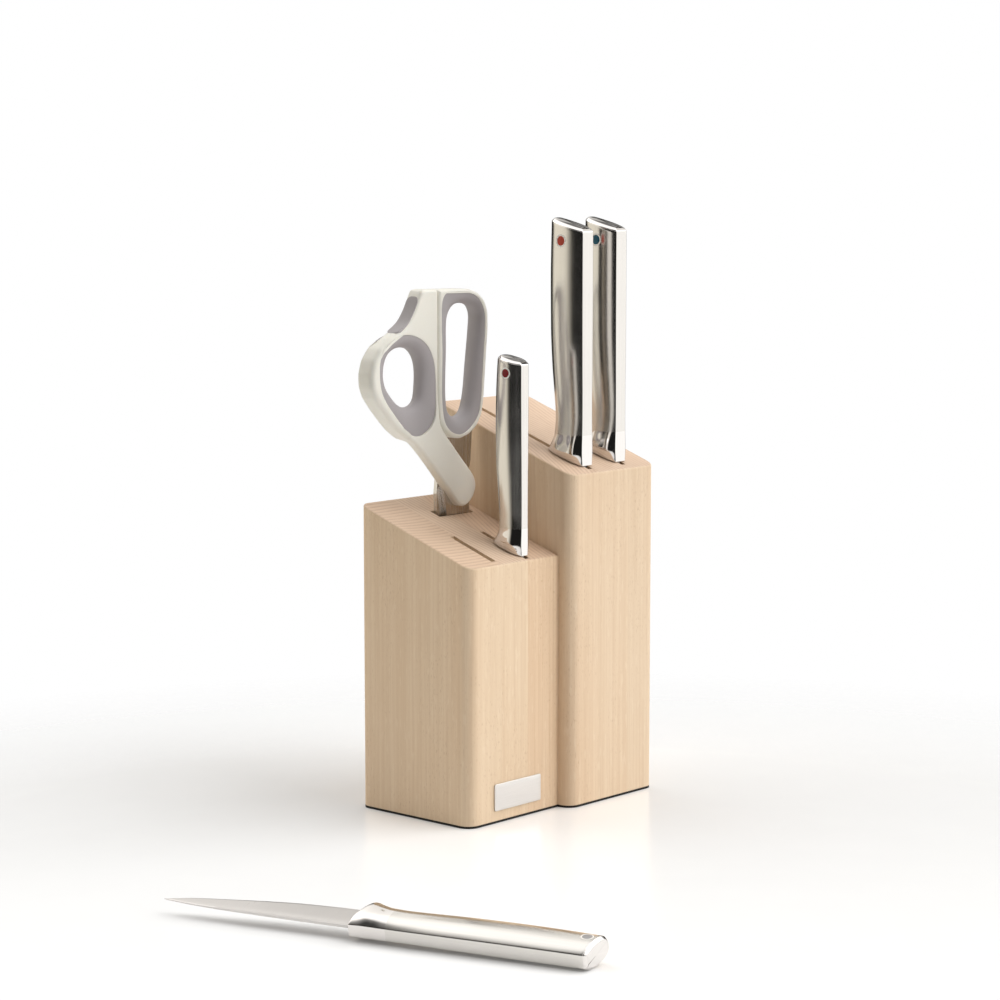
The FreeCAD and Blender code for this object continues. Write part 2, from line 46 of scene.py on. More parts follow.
# ------------------------------------------------------------------ mesh helpers
def make_object(name, verts, faces, material, smooth=True, sharp=38.0, scale=MM):
    """verts in millimetres"""
    me = bpy.data.meshes.new(name)
    me.from_pydata([tuple(float(c) * scale for c in v) for v in verts], [], [tuple(int(i) for i in f) for f in faces])
    me.validate()
    bm = bmesh.new()
    bm.from_mesh(me)
    bmesh.ops.remove_doubles(bm, verts=bm.verts, dist=1e-7)
    bmesh.ops.recalc_face_normals(bm, faces=bm.faces)
    bm.to_mesh(me)
    bm.free()
    me.polygons.foreach_set("use_smooth", [smooth] * len(me.polygons))
    if smooth and sharp:
        me.set_sharp_from_angle(angle=math.radians(sharp))
    me.update()
    ob = bpy.data.objects.new(name, me)
    scene.collection.objects.link(ob)
    me.materials.append(material)
    return ob


def place(ob, body, slot, *nodes):
    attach(ob, body)
    if nodes:
        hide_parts(*nodes)
    return ob


def weighted(ob):
    m = ob.modifiers.new("weighted", "WEIGHTED_NORMAL")
    m.keep_sharp = True
    m.weight = 60
    return ob


def smoothstep(t):
    t = np.clip(t, 0.0, 1.0)
    return t * t * (3 - 2 * t)


def grid_faces(rows, cols, closed=True, base=0):
    f = []
    for j in range(rows - 1):
        for i in range(cols if closed else cols - 1):
            k = (i + 1) % cols
            f.append((base + j * cols + i, base + j * cols + k, base + (j + 1) * cols + k, base + (j + 1) * cols + i))
    return f


# ------------------------------------------------------------------ node helpers
class Mat:
    def __init__(self, name):
        self.m = bpy.data.materials.new(name)
        self.m.use_nodes = True
        self.t = self.m.node_tree
        self.p = self.t.nodes["Principled BSDF"]
        self.x = 0

    def add(self, kind, **kw):
        n = self.t.nodes.new(kind)
        self.x -= 40
        n.location = (self.x, 0)
        for k, v in kw.items():
            setattr(n, k, v)
        return n

    def link(self, a, b):
        self.t.links.new(a, b)

    def put(self, node, key, value):
        s = node.inputs[key]
        if isinstance(value, bpy.types.NodeSocket):
            self.link(value, s)
        else:
            s.default_value = value

    def coords(self):
        return self.add("ShaderNodeTexCoord").outputs["Object"]

    def mapping(self, vec, loc=(0, 0, 0), rot=(0, 0, 0), scale=(1, 1, 1)):
        n = self.add("ShaderNodeMapping")
        self.link(vec, n.inputs["Vector"])
        n.inputs["Location"].default_value = loc
        n.inputs["Rotation"].default_value = rot
        n.inputs["Scale"].default_value = scale
        return n.outputs["Vector"]

    def noise(self, vec, scale, detail=2.0, rough=0.5, distortion=0.0):
        n = self.add("ShaderNodeTexNoise")
        self.link(vec, n.inputs["Vector"])
        n.inputs["Scale"].default_value = scale
        n.inputs["Detail"].default_value = detail
        n.inputs["Roughness"].default_value = rough
        n.inputs["Distortion"].default_value = distortion
        return n.outputs["Fac"]

    def math(self, op, a, b=0.0, c=0.0, clamp=False):
        n = self.add("ShaderNodeMath", operation=op)
        n.use_clamp = clamp
        self.put(n, 0, a)
        self.put(n, 1, b)
        if len(n.inputs) > 2:
            self.put(n, 2, c)
        return n.outputs[0]

    def remap(self, v, a, b, c, d):
        n = self.add("ShaderNodeMapRange")
        self.put(n, "Value", v)
        n.inputs["From Min"].default_value = a
        n.inputs["From Max"].default_value = b
        n.inputs["To Min"].default_value = c
        n.inputs["To Max"].default_value = d
        return n.outputs["Result"]

    def mix(self, fac, a, b, blend="MIX"):
        n = self.add("ShaderNodeMix", data_type="RGBA", blend_type=blend)
        self.put(n, 0, fac)
        for key, v in ((6, a), (7, b)):
            if isinstance(v, bpy.types.NodeSocket):
                self.link(v, n.inputs[key])
            else:
                n.inputs[key].default_value = (v[0], v[1], v[2], 1.0)
        return n.outputs[2]

    def ramp(self, fac, stops):
        n = self.add("ShaderNodeValToRGB")
        self.link(fac, n.inputs["Fac"])
        el = n.color_ramp.elements
        while len(el) < len(stops):
            el.new(0.5)
        for e, (pos, col) in zip(el, stops):
            e.position = pos
            e.color = (col[0], col[1], col[2], 1.0) if isinstance(col, (tuple, list)) else (col, col, col, 1.0)
        return n.outputs["Color"]

    def bump(self, height, strength, distance):
        n = self.add("ShaderNodeBump")
        self.put(n, "Height", height)
        n.inputs["Strength"].default_value = strength
        n.inputs["Distance"].default_value = distance
        self.link(n.outputs["Normal"], self.p.inputs["Normal"])
        return n


def lin(r, g, b):
    def f(c):
        c /= 255.0
        return c / 12.92 if c <= 0.04045 else ((c + 0.055) / 1.055) ** 2.4
    return (f(r), f(g), f(b))


def wood(name, centre, tint=(1, 1, 1), seed=0.0, spacing=2.8, contrast=1.0, end=1.0):
    """Beech with its length along Z. centre: the pith, in metres, in plan."""
    w = Mat(name)
    co = w.coords()
    # slow wander of the grain along the length
    wander = w.noise(w.mapping(co, loc=(seed, seed * 0.7, seed * 1.3), scale=(9, 9, 2.6)), 1.0, 2.0, 0.5)
    wander2 = w.noise(w.mapping(co, loc=(seed * 2.1, seed, 0), scale=(40, 40, 5)), 1.0, 1.0, 0.4)
    flat = w.mapping(co, loc=(-centre[0], -centre[1], 0), scale=(1, 1, 0))
    dist = w.add("ShaderNodeVectorMath", operation="LENGTH")
    w.link(flat, dist.inputs[0])
    r = w.math("ADD", dist.outputs["Value"], w.math("MULTIPLY", w.math("SUBTRACT", wander, 0.5), 0.0085))
    r = w.math("ADD", r, w.math("MULTIPLY", w.math("SUBTRACT", wander2, 0.5), 0.0012))
    year = w.math("DIVIDE", r, spacing * MM)
    # the width of the years varies
    year = w.math("ADD", year, w.math("MULTIPLY", w.noise(w.mapping(co, loc=(seed * 3, 0, 0), scale=(30, 30, 1.2)), 1.0, 0.0), 1.2))
    phase = w.math("FRACT", year)
    ring = w.ramp(phase, [(0.0, 0.15), (0.10, 0.0), (0.45, 0.10), (0.78, 0.42), (0.93, 1.0), (1.0, 0.15)])
    pick = w.math("MULTIPLY", w.noise(w.mapping(co, loc=(seed, 3, 0), scale=(120, 120, 2.0)), 1.0, 2.0, 0.6), 1.0)
    ring = w.math("MULTIPLY", ring, w.remap(pick, 0.3, 0.75, 0.25, 1.15))
    fibre = w.noise(w.mapping(co, loc=(0, seed, seed), scale=(1500, 1500, 22)), 1.0, 3.0, 0.6)
    streak = w.noise(w.mapping(co, loc=(seed, 0, seed * 2), scale=(320, 320, 6)), 1.0, 3.0, 0.55)
    cloud = w.noise(w.mapping(co, loc=(seed * 5, seed, 1), scale=(14, 14, 5)), 1.0, 3.0, 0.5)
    # rays: short dark dashes along the grain
    cell = w.noise(w.mapping(co, loc=(seed, 5, 2), scale=(2100, 2100, 430)), 1.0, 0.0)
    dense = w.noise(w.mapping(co, loc=(2, seed, 9), scale=(60, 60, 16)), 1.0, 2.0)
    flecks = w.math("MULTIPLY", w.remap(cell, 0.665, 0.735, 0.0, 1.0), w.remap(dense, 0.42, 0.62, 0.15, 1.0), clamp=True)
    pale_cell = w.noise(w.mapping(co, loc=(seed + 7, 1, 2), scale=(700, 700, 130)), 1.0, 0.0)
    pale = w.remap(pale_cell, 0.66, 0.76, 0.0, 1.0)

    base = (0.775 * tint[0], 0.612 * tint[1], 0.440 * tint[2])
    dark = (0.600 * tint[0], 0.412 * tint[1], 0.262 * tint[2])
    warm = (0.730 * tint[0], 0.540 * tint[1], 0.365 * tint[2])
    light = (0.835 * tint[0], 0.690 * tint[1], 0.525 * tint[2])
    col = w.mix(w.remap(cloud, 0.30, 0.72, 0.0, 1.0), base, warm)
    col = w.mix(w.math("MULTIPLY", w.remap(streak, 0.35, 0.75, 0.0, 1.0), 0.42), col, light)
    col = w.mix(w.math("MULTIPLY", w.remap(streak, 0.62, 0.30, 0.0, 1.0), 0.20 * contrast, clamp=True), col, dark)
    col = w.mix(w.math("MULTIPLY", ring, 0.34 * contrast), col, dark)
    col = w.mix(w.math("MULTIPLY", w.remap(fibre, 0.40, 0.68, 0.0, 1.0), 0.16), col, dark)
    col = w.mix(w.math("MULTIPLY", flecks, 0.30), col, (0.46 * tint[0], 0.275 * tint[1], 0.150 * tint[2]))
    col = w.mix(w.math("MULTIPLY", pale, 0.30), col, light)
    # the cut across the grain drinks the oil and shows its years more
    geo = w.add("ShaderNodeNewGeometry")
    sep = w.add("ShaderNodeSeparateXYZ")
    w.link(geo.outputs["Normal"], sep.inputs[0])
    top = w.remap(sep.outputs["Z"], 0.55, 0.90, 0.0, 1.0)
    pores = w.noise(w.mapping(co, loc=(seed, 1, 1), scale=(2600, 2600, 2600)), 1.0, 2.0, 0.6)
    endc = w.mix(0.80, col, (0.715 * tint[0] * end, 0.535 * tint[1] * end, 0.405 * tint[2] * end))
    line = w.ramp(phase, [(0.0, 0.30), (0.12, 0.0), (0.50, 0.05), (0.76, 0.55), (0.90, 1.0), (1.0, 0.30)])
    endc = w.mix(w.math("MULTIPLY", line, w.remap(pick, 0.25, 0.70, 0.30, 0.72), clamp=True), endc, (0.46, 0.285, 0.185))
    endc = w.mix(w.math("MULTIPLY", w.remap(pores, 0.45, 0.7, 0.0, 1.0), 0.20), endc, (0.52, 0.345, 0.235))
    col = w.mix(top, col, endc)
    w.link(col, w.p.inputs["Base Color"])
    w.link(w.remap(w.math("ADD", fibre, w.math("MULTIPLY", streak, 0.6)), 0.5, 1.1, 0.46, 0.62), w.p.inputs["Roughness"])
    w.p.inputs["Specular IOR Level"].default_value = 0.35
    h = w.math("ADD", w.math("MULTIPLY", fibre, 0.5), w.math("MULTIPLY", flecks, -0.9))
    h = w.math("ADD", h, w.math("MULTIPLY", w.math("MULTIPLY", pores, top), 0.7))
    w.bump(h, 0.30, 0.00010)
    return w.m


def steel(name, base, rough, axis, brush=0.05, across=5200, along=26, mark=0.25, bump=0.0, spots=0.0):
    """axis: unit vector of the brushing, in the frame the piece is modelled in"""
    s = Mat(name)
    co = s.coords()
    a = Vector(axis).normalized()
    rot = a.rotation_difference(Vector((0, 0, 1))).to_euler()
    turned = s.mapping(co, rot=(rot.x, rot.y, rot.z))
    lines = s.noise(s.mapping(turned, scale=(across, across, along)), 1.0, 3.0, 0.65)
    wide = s.noise(s.mapping(turned, loc=(3, 1, 2), scale=(across / 6.0, across / 6.0, along / 3.0)), 1.0, 2.0, 0.5)
    cloud = s.noise(s.mapping(co, loc=(1, 4, 2), scale=(38, 38, 38)), 1.0, 3.0, 0.5)
    d = tuple(c * (1 - mark) for c in base)
    col = s.mix(s.remap(lines, 0.36, 0.66, 0.0, 1.0), d, base)
    col = s.mix(s.math("MULTIPLY", s.remap(cloud, 0.35, 0.7, 0.0, 1.0), 0.16), col, tuple(c * 0.86 for c in base))
    s.link(col, s.p.inputs["Base Color"])
    s.p.inputs["Metallic"].default_value = 1.0
    rg = s.math("ADD", s.remap(lines, 0.3, 0.7, rough - brush, rough + brush), s.remap(wide, 0.3, 0.7, -brush * 0.5, brush * 0.5))
    rg = s.math("ADD", rg, s.remap(cloud, 0.3, 0.7, -0.02, 0.03), clamp=True)
    s.link(rg, s.p.inputs["Roughness"])
    if bump:
        s.bump(s.math("ADD", lines, s.math("MULTIPLY", wide, 0.5)), bump, 0.00002)
    return s.m


def plastic(name, base, rough, grain, bump, variation=0.06, spec=0.5, scale=1500, subsurface=0.0):
    s = Mat(name)
    co = s.coords()
    fine = s.noise(s.mapping(co, scale=(scale, scale, scale)), 1.0, 2.0, 0.55)
    wide = s.noise(s.mapping(co, loc=(2, 5, 1), scale=(45, 45, 45)), 1.0, 3.0, 0.5)
    col = s.mix(s.remap(wide, 0.3, 0.72, 0.0, 1.0), base, tuple(c * (1 - variation) for c in base))
    col = s.mix(s.math("MULTIPLY", s.remap(fine, 0.4, 0.7, 0.0, 1.0), grain), col, tuple(c * 0.80 for c in base))
    s.link(col, s.p.inputs["Base Color"])
    s.link(s.math("ADD", s.remap(fine, 0.3, 0.7, rough - 0.05, rough + 0.05), s.remap(wide, 0.3, 0.7, -0.04, 0.04)),
           s.p.inputs["Roughness"])
    s.p.inputs["Specular IOR Level"].default_value = spec
    if subsurface:
        s.p.inputs["Subsurface Weight"].default_value = subsurface
        s.p.inputs["Subsurface Radius"].default_value = (0.004, 0.003, 0.002)
        s.p.inputs["Subsurface Scale"].default_value = 0.4
    s.bump(fine, bump, 0.00003)
    return s.m


UP = (0, 0, 1)
M_PAD = plastic("pad_rubber", (0.020, 0.017, 0.015), 0.75, 0.5, 0.5, 0.25, 0.3, 2400)
M_CREAM = plastic("cream_plastic", (0.850, 0.825, 0.745), 0.42, 0.10, 0.12, 0.03, 0.45, 2200, 0.06)
M_GREY = plastic("grey_grip", (0.410, 0.380, 0.385), 0.58, 0.16, 0.25, 0.05, 0.35, 2600)
M_RING = plastic("ring_enamel", (0.86, 0.83, 0.78), 0.25, 0.05, 0.05, 0.03, 0.5, 1800)
M_PLATE = steel("plate_steel", (0.74, 0.715, 0.69), 0.36, (1, 0, 0), 0.05, 5200, 40, 0.10, 0.15)
M_HANDLE = steel("handle_brushed", (0.70, 0.675, 0.640), 0.20, UP, 0.03, 5200, 16, 0.09, 0.05)
M_POLISH = steel("bolster_polished", (0.74, 0.71, 0.685), 0.055, UP, 0.012, 3000, 60, 0.03, 0.0)
M_BLADE = steel("blade_satin", (0.62, 0.60, 0.585), 0.30, (1, 0, 0), 0.05, 6000, 30, 0.18, 0.08)
M_SCISSOR = steel("scissor_steel", (0.68, 0.655, 0.625), 0.26, UP, 0.03, 5200, 30, 0.06, 0.04)
M_DOTS = {
    "chef": plastic("dot_orange", (0.46, 0.045, 0.020), 0.22, 0.15, 0.05, 0.15, 0.25, 3000),
    "santoku": plastic("dot_teal", (0.004, 0.085, 0.135), 0.22, 0.15, 0.05, 0.15, 0.25, 3000),
    "paring": plastic("dot_red", (0.210, 0.008, 0.012), 0.22, 0.15, 0.05, 0.15, 0.25, 3000),
    "utility": plastic("dot_grey", (0.330, 0.320, 0.320), 0.22, 0.15, 0.05, 0.15, 0.35, 3000),
}

# ------------------------------------------------------------------ block
LOW_W, LOW_Y0, LOW_Y1, LOW_Z0 = 70.5, -39.6, 39.7, 136.7
TALL_W, TALL_Y0, TALL_Y1, TALL_Z0 = 71.5, -48.2, 48.5, 180.0
SLOPE, PAD_T, SLOT_W = 0.351, 1.1, 3.2
X_EMPTY, X_PARING, X_CHEF, X_SANTOKU = -46.6, -23.0, 21.5, 49.5
SEAM_L1, SEAM_L2 = X_EMPTY + SLOT_W / 2, X_PARING - SLOT_W / 2
SEAM_T1, SEAM_T2 = X_CHEF + SLOT_W / 2, X_SANTOKU - SLOT_W / 2


def ztop(y, tall):
    return (TALL_Z0 + SLOPE * (y - TALL_Y0)) if tall else (LOW_Z0 + SLOPE * (y - LOW_Y0))


def board(name, x0, x1, tall, fillets, left, right, material):
    """left / right: notches (y0, y1, depth, bottom z) in that side, which face a glue seam.
    fillets: {'fl','fr','bl','br': radius}; a side with a fillet or None in outer is an outside face."""
    y0, y1 = (TALL_Y0, TALL_Y1) if tall else (LOW_Y0, LOW_Y1)
    bm = bmesh.new()

    def arc(cx, cy, r, a0, n=10):
        return [(cx + r * math.cos(math.radians(a0 + 90.0 * i / n)), cy + r * math.sin(math.radians(a0 + 90.0 * i / n)))
                for i in range(n + 1)]

    def corner(key, x, y, a0):
        r = fillets.get(key, 0)
        if not r:
            return [(x, y)]
        return arc(x + (r if "l" in key else -r), y + (r if "f" in key else -r), r, a0)

    # outline, counter-clockwise from above, as (x, y, bottom z or None for the full height)
    full = corner("fl", x0, y0, 180) + corner("fr", x1, y0, 270) + corner("br", x1, y1, 0) + corner("bl", x0, y1, 90)
    # where the right side starts and ends in that list
    nfl, nfr, nbr = len(corner("fl", x0, y0, 180)), len(corner("fr", x1, y0, 270)), len(corner("br", x1, y1, 0))
    top = []
    for i, p in enumerate(full):
        top.append(("o", p))
        if i == nfl + nfr - 1:
            for a, b, d, zb in sorted(right):
                top += [("n", (x1, a)), ("n", (x1 - d, a)), ("n", (x1 - d, b)), ("n", (x1, b))]
        if i == len(full) - 1:
            for a, b, d, zb in sorted(left, reverse=True):
                top += [("n", (x0, b)), ("n", (x0 + d, b)), ("n", (x0 + d, a)), ("n", (x0, a))]
    tv = [bm.verts.new((p[0], p[1], ztop(p[1], tall))) for k, p in top]
    bm.faces.new(tv)
    bv = {}
    for (k, p), v in zip(top, tv):
        if k == "o":
            bv[p] = bm.verts.new((p[0], p[1], PAD_T))
    bm.faces.new([bv[p] for p in reversed(full)])
    index = {}
    for i, (k, p) in enumerate(top):
        index.setdefault(p, tv[i])
    tops = {p: v for (k, p), v in zip(top, tv)}

    notch_low = {}
    for side, xs, sign in ((right, x1, -1), (left, x0, 1)):
        for a, b, d, zb in side:
            ring = [(xs, a), (xs + sign * d, a), (xs + sign * d, b), (xs, b)]
            low = [bm.verts.new((p[0], p[1], zb)) for p in ring]
            for p, v in zip(ring, low):
                notch_low[(side is right, p)] = v
            up = [tops[p] for p in ring]
            for i in range(3):
                bm.faces.new([up[i], up[i + 1], low[i + 1], low[i]])
            bm.faces.new(low)
    n = len(full)
    for i in range(n):
        a, b = full[i], full[(i + 1) % n]
        is_right = i == nfl + nfr - 1
        is_left = i == n - 1
        chain = [tops[a]]
        if is_right:
            for y_a, y_b, d, zb in sorted(right):
                chain += [tops[(x1, y_a)], notch_low[(True, (x1, y_a))], notch_low[(True, (x1, y_b))], tops[(x1, y_b)]]
        if is_left:
            for y_a, y_b, d, zb in sorted(left, reverse=True):
                chain += [tops[(x0, y_b)], notch_low[(False, (x0, y_b))], notch_low[(False, (x0, y_a))], tops[(x0, y_a)]]
        chain += [tops[b], bv[b], bv[a]]
        bm.faces.new(chain)
    bmesh.ops.recalc_face_normals(bm, faces=bm.faces)
    bm.edges.ensure_lookup_table()
    outer_l, outer_r = ("fl" in fillets or "bl" in fillets or "ol" in fillets), ("fr" in fillets or "br" in fillets or "or" in fillets)
    big, small, verts_e = [], [], []
    for e in bm.edges:
        p, q = e.verts[0].co, e.verts[1].co
        on_top = abs(p.z - ztop(p.y, tall)) < 1e-4 and abs(q.z - ztop(q.y, tall)) < 1e-4
        on_bot = abs(p.z - PAD_T) < 1e-4 and abs(q.z - PAD_T) < 1e-4
        at_l = abs(p.x - x0) < 1e-4 and abs(q.x - x0) < 1e-4
        at_r = abs(p.x - x1) < 1e-4 and abs(q.x - x1) < 1e-4
        in_notch = [f for f in e.link_faces if all(any(abs(v.co.x - (xs + s * d * t)) < 1e-3 and a - 1e-3 <= v.co.y <= b + 1e-3
                                                         for t in (0, 1)) for v in f.verts)
                    ] if False else []
        mid = (p + q) / 2
        notch_edge = False
        for sd, xs, s in ((right, x1, -1), (left, x0, 1)):
            for a, b, d, zb in sd:
                lo_x, hi_x = min(xs, xs + s * d), max(xs, xs + s * d)
                if lo_x - 1e-3 <= mid.x <= hi_x + 1e-3 and a - 1e-3 <= mid.y <= b + 1e-3:
                    notch_edge = True
        if on_top:
            if notch_edge:
                small.append(e)
            elif (at_l and not outer_l) or (at_r and not outer_r):
                continue
            else:
                big.append(e)
        elif on_bot:
            if (at_l and not outer_l) or (at_r and not outer_r):
                continue
            small.append(e)
        elif abs(p.x - q.x) < 1e-4 and abs(p.y - q.y) < 1e-4 and not notch_edge:
            # plain outside corners without a fillet
            for key, xx, yy in (("fl", x0, y0), ("fr", x1, y0), ("bl", x0, y1), ("br", x1, y1)):
                if abs(p.x - xx) < 1e-4 and abs(p.y - yy) < 1e-4 and not fillets.get(key):
                    if ("l" in key and "ol" in fillets) or ("r" in key and "or" in fillets):
                        verts_e.append(e)
    if big:
        bmesh.ops.bevel(bm, geom=big, offset=0.85, segments=4, profile=0.5, affect="EDGES", clamp_overlap=True)
    small = [e for e in small if e.is_valid]
    if small:
        bmesh.ops.bevel(bm, geom=small, offset=0.28, segments=2, profile=0.5, affect="EDGES", clamp_overlap=True)
    verts_e = [e for e in verts_e if e.is_valid]
    if verts_e:
        bmesh.ops.bevel(bm, geom=verts_e, offset=0.4, segments=2, profile=0.5, affect="EDGES", clamp_overlap=True)
    for v in bm.verts:
        v.co *= MM
    me = bpy.data.meshes.new(name)
    bm.to_mesh(me)
    bm.free()
    me.polygons.foreach_set("use_smooth", [True] * len(me.polygons))
    me.set_sharp_from_angle(angle=math.radians(40))
    ob = bpy.data.objects.new(name, me)
    scene.collection.objects.link(ob)
    me.materials.append(material)
    return weighted(ob)


SC_X0, SC_X1, SC_Y0, SC_Y1, SC_Z = -33.6, -6.6, 15.6, 22.4, 70.0
BOARDS = [
    ("lower_board_left", -LOW_W, SEAM_L1, False, {"fl": 7.0, "bl": 6.0}, [], [(-35.0, -5.5, SLOT_W, 32.0)],
     wood("beech_lower_left", (-0.050, 0.330), (1.0, 0.985, 0.955), 1.3, 2.9, 0.9)),
    ("lower_board_middle", SEAM_L1, SEAM_L2, False, {}, [], [(SC_Y0, SC_Y1, SEAM_L2 - SC_X0, SC_Z)],
     wood("beech_lower_middle", (0.240, 0.040), (1.03, 1.04, 1.03), 4.1, 2.8, 1.0)),
    ("lower_board_right", SEAM_L2, 0.0, False, {"or": 1}, [(-37.5, -5.0, SLOT_W, 42.0), (SC_Y0, SC_Y1, SC_X1 - SEAM_L2, SC_Z)], [],
     wood("beech_lower_right", (0.290, -0.090), (1.0, 0.965, 0.925), 7.7, 3.0, 1.1)),
    ("tall_board_left", 0.0, SEAM_T1, True, {"fl": 7.0, "bl": 6.0}, [], [(-43.4, 36.3, SLOT_W, 12.0)],
     wood("beech_tall_left", (-0.240, 0.060), (1.0, 0.98, 0.955), 11.9, 2.8, 0.9)),
    ("tall_board_middle", SEAM_T1, SEAM_T2, True, {}, [], [],
     wood("beech_tall_middle", (0.330, 0.050), (1.01, 1.01, 1.00), 15.2, 2.7, 0.9)),
    ("tall_board_right", SEAM_T2, TALL_W, True, {"fr": 6.0, "br": 6.0}, [(-43.4, 4.0, SLOT_W, 36.0)], [],
     wood("beech_tall_right", (0.360, -0.040), (0.99, 0.985, 0.97), 19.4, 3.0, 1.0)),
]
for nm, xa, xb, is_tall, fil, lf, rt, mt in BOARDS:
    place(board(nm + "_wood", xa, xb, is_tall, fil, lf, rt, mt), "block", "beech", nm)


# ------------------------------------------------------------------ outlines
def resample(pts, step=None, n=None, closed=True):
    """even points on a centripetal Catmull-Rom curve through pts"""
    P = np.array(pts, float)
    m = len(P)
    out = []
    for i in range(m if closed else m - 1):
        p1, p2 = P[i], P[(i + 1) % m]
        p0 = P[(i - 1) % m] if (closed or i > 0) else 2 * p1 - p2
        p3 = P[(i + 2) % m] if (closed or i + 2 < m) else 2 * p2 - p1
        t0 = 0.0
        t1 = t0 + max(np.linalg.norm(p1 - p0), 1e-6) ** 0.5
        t2 = t1 + max(np.linalg.norm(p2 - p1), 1e-6) ** 0.5
        t3 = t2 + max(np.linalg.norm(p3 - p2), 1e-6) ** 0.5
        for t in np.linspace(t1, t2, 24, endpoint=False):
            a1 = (t1 - t) / (t1 - t0) * p0 + (t - t0) / (t1 - t0) * p1
            a2 = (t2 - t) / (t2 - t1) * p1 + (t - t1) / (t2 - t1) * p2
            a3 = (t3 - t) / (t3 - t2) * p2 + (t - t2) / (t3 - t2) * p3
            b1 = (t2 - t) / (t2 - t0) * a1 + (t - t0) / (t2 - t0) * a2
            b2 = (t3 - t) / (t3 - t1) * a2 + (t - t1) / (t3 - t1) * a3
            out.append((t2 - t) / (t2 - t1) * b1 + (t - t1) / (t2 - t1) * b2)
    if not closed:
        out.append(P[-1])
    Q = np.array(out)
    R = np.vstack([Q, Q[:1]]) if closed else Q
    s = np.concatenate([[0], np.cumsum(np.linalg.norm(np.diff(R, axis=0), axis=1))])
    if n is None:
        n = int(round(s[-1] / step))
    u = np.linspace(0, s[-1], n, endpoint=not closed)
    return np.stack([np.interp(u, s, R[:, k]) for k in range(R.shape[1])], 1)


def polyline(pts, step):
    """even points on the straight closed polyline"""
    P = np.array(pts, float)
    R = np.vstack([P, P[:1]])
    s = np.concatenate([[0], np.cumsum(np.linalg.norm(np.diff(R, axis=0), axis=1))])
    n = int(round(s[-1] / step))
    u = np.linspace(0, s[-1], n, endpoint=False)
    return np.stack([np.interp(u, s, R[:, 0]), np.interp(u, s, R[:, 1])], 1)


def gauss(P, sigma, step):
    """smooths a closed even polyline"""
    k = int(math.ceil(3 * sigma / step))
    w = np.exp(-0.5 * (np.arange(-k, k + 1) * step / sigma) ** 2)
    w /= w.sum()
    out = np.zeros_like(P)
    for i, wi in zip(range(-k, k + 1), w):
        out += wi * np.roll(P, -i, axis=0)
    return out


def signed_area(P):
    x, y = P[:, 0], P[:, 1]
    return 0.5 * np.sum(x * np.roll(y, -1) - y * np.roll(x, -1))


def ccw(P):
    return P if signed_area(P) > 0 else P[::-1].copy()


def inward(P):
    """unit normals that point into a counter-clockwise outline"""
    t = np.roll(P, -1, axis=0) - np.roll(P, 1, axis=0)
    t /= np.linalg.norm(t, axis=1)[:, None]
    return np.stack([-t[:, 1], t[:, 0]], 1)


def inside(pt, P):
    x, y = pt
    a, b = P, np.roll(P, -1, axis=0)
    cond = (a[:, 1] > y) != (b[:, 1] > y)
    with np.errstate(divide="ignore", invalid="ignore"):
        xi = (b[:, 0] - a[:, 0]) * (y - a[:, 1]) / (b[:, 1] - a[:, 1]) + a[:, 0]
    return bool(np.count_nonzero(cond & (x < xi)) % 2)


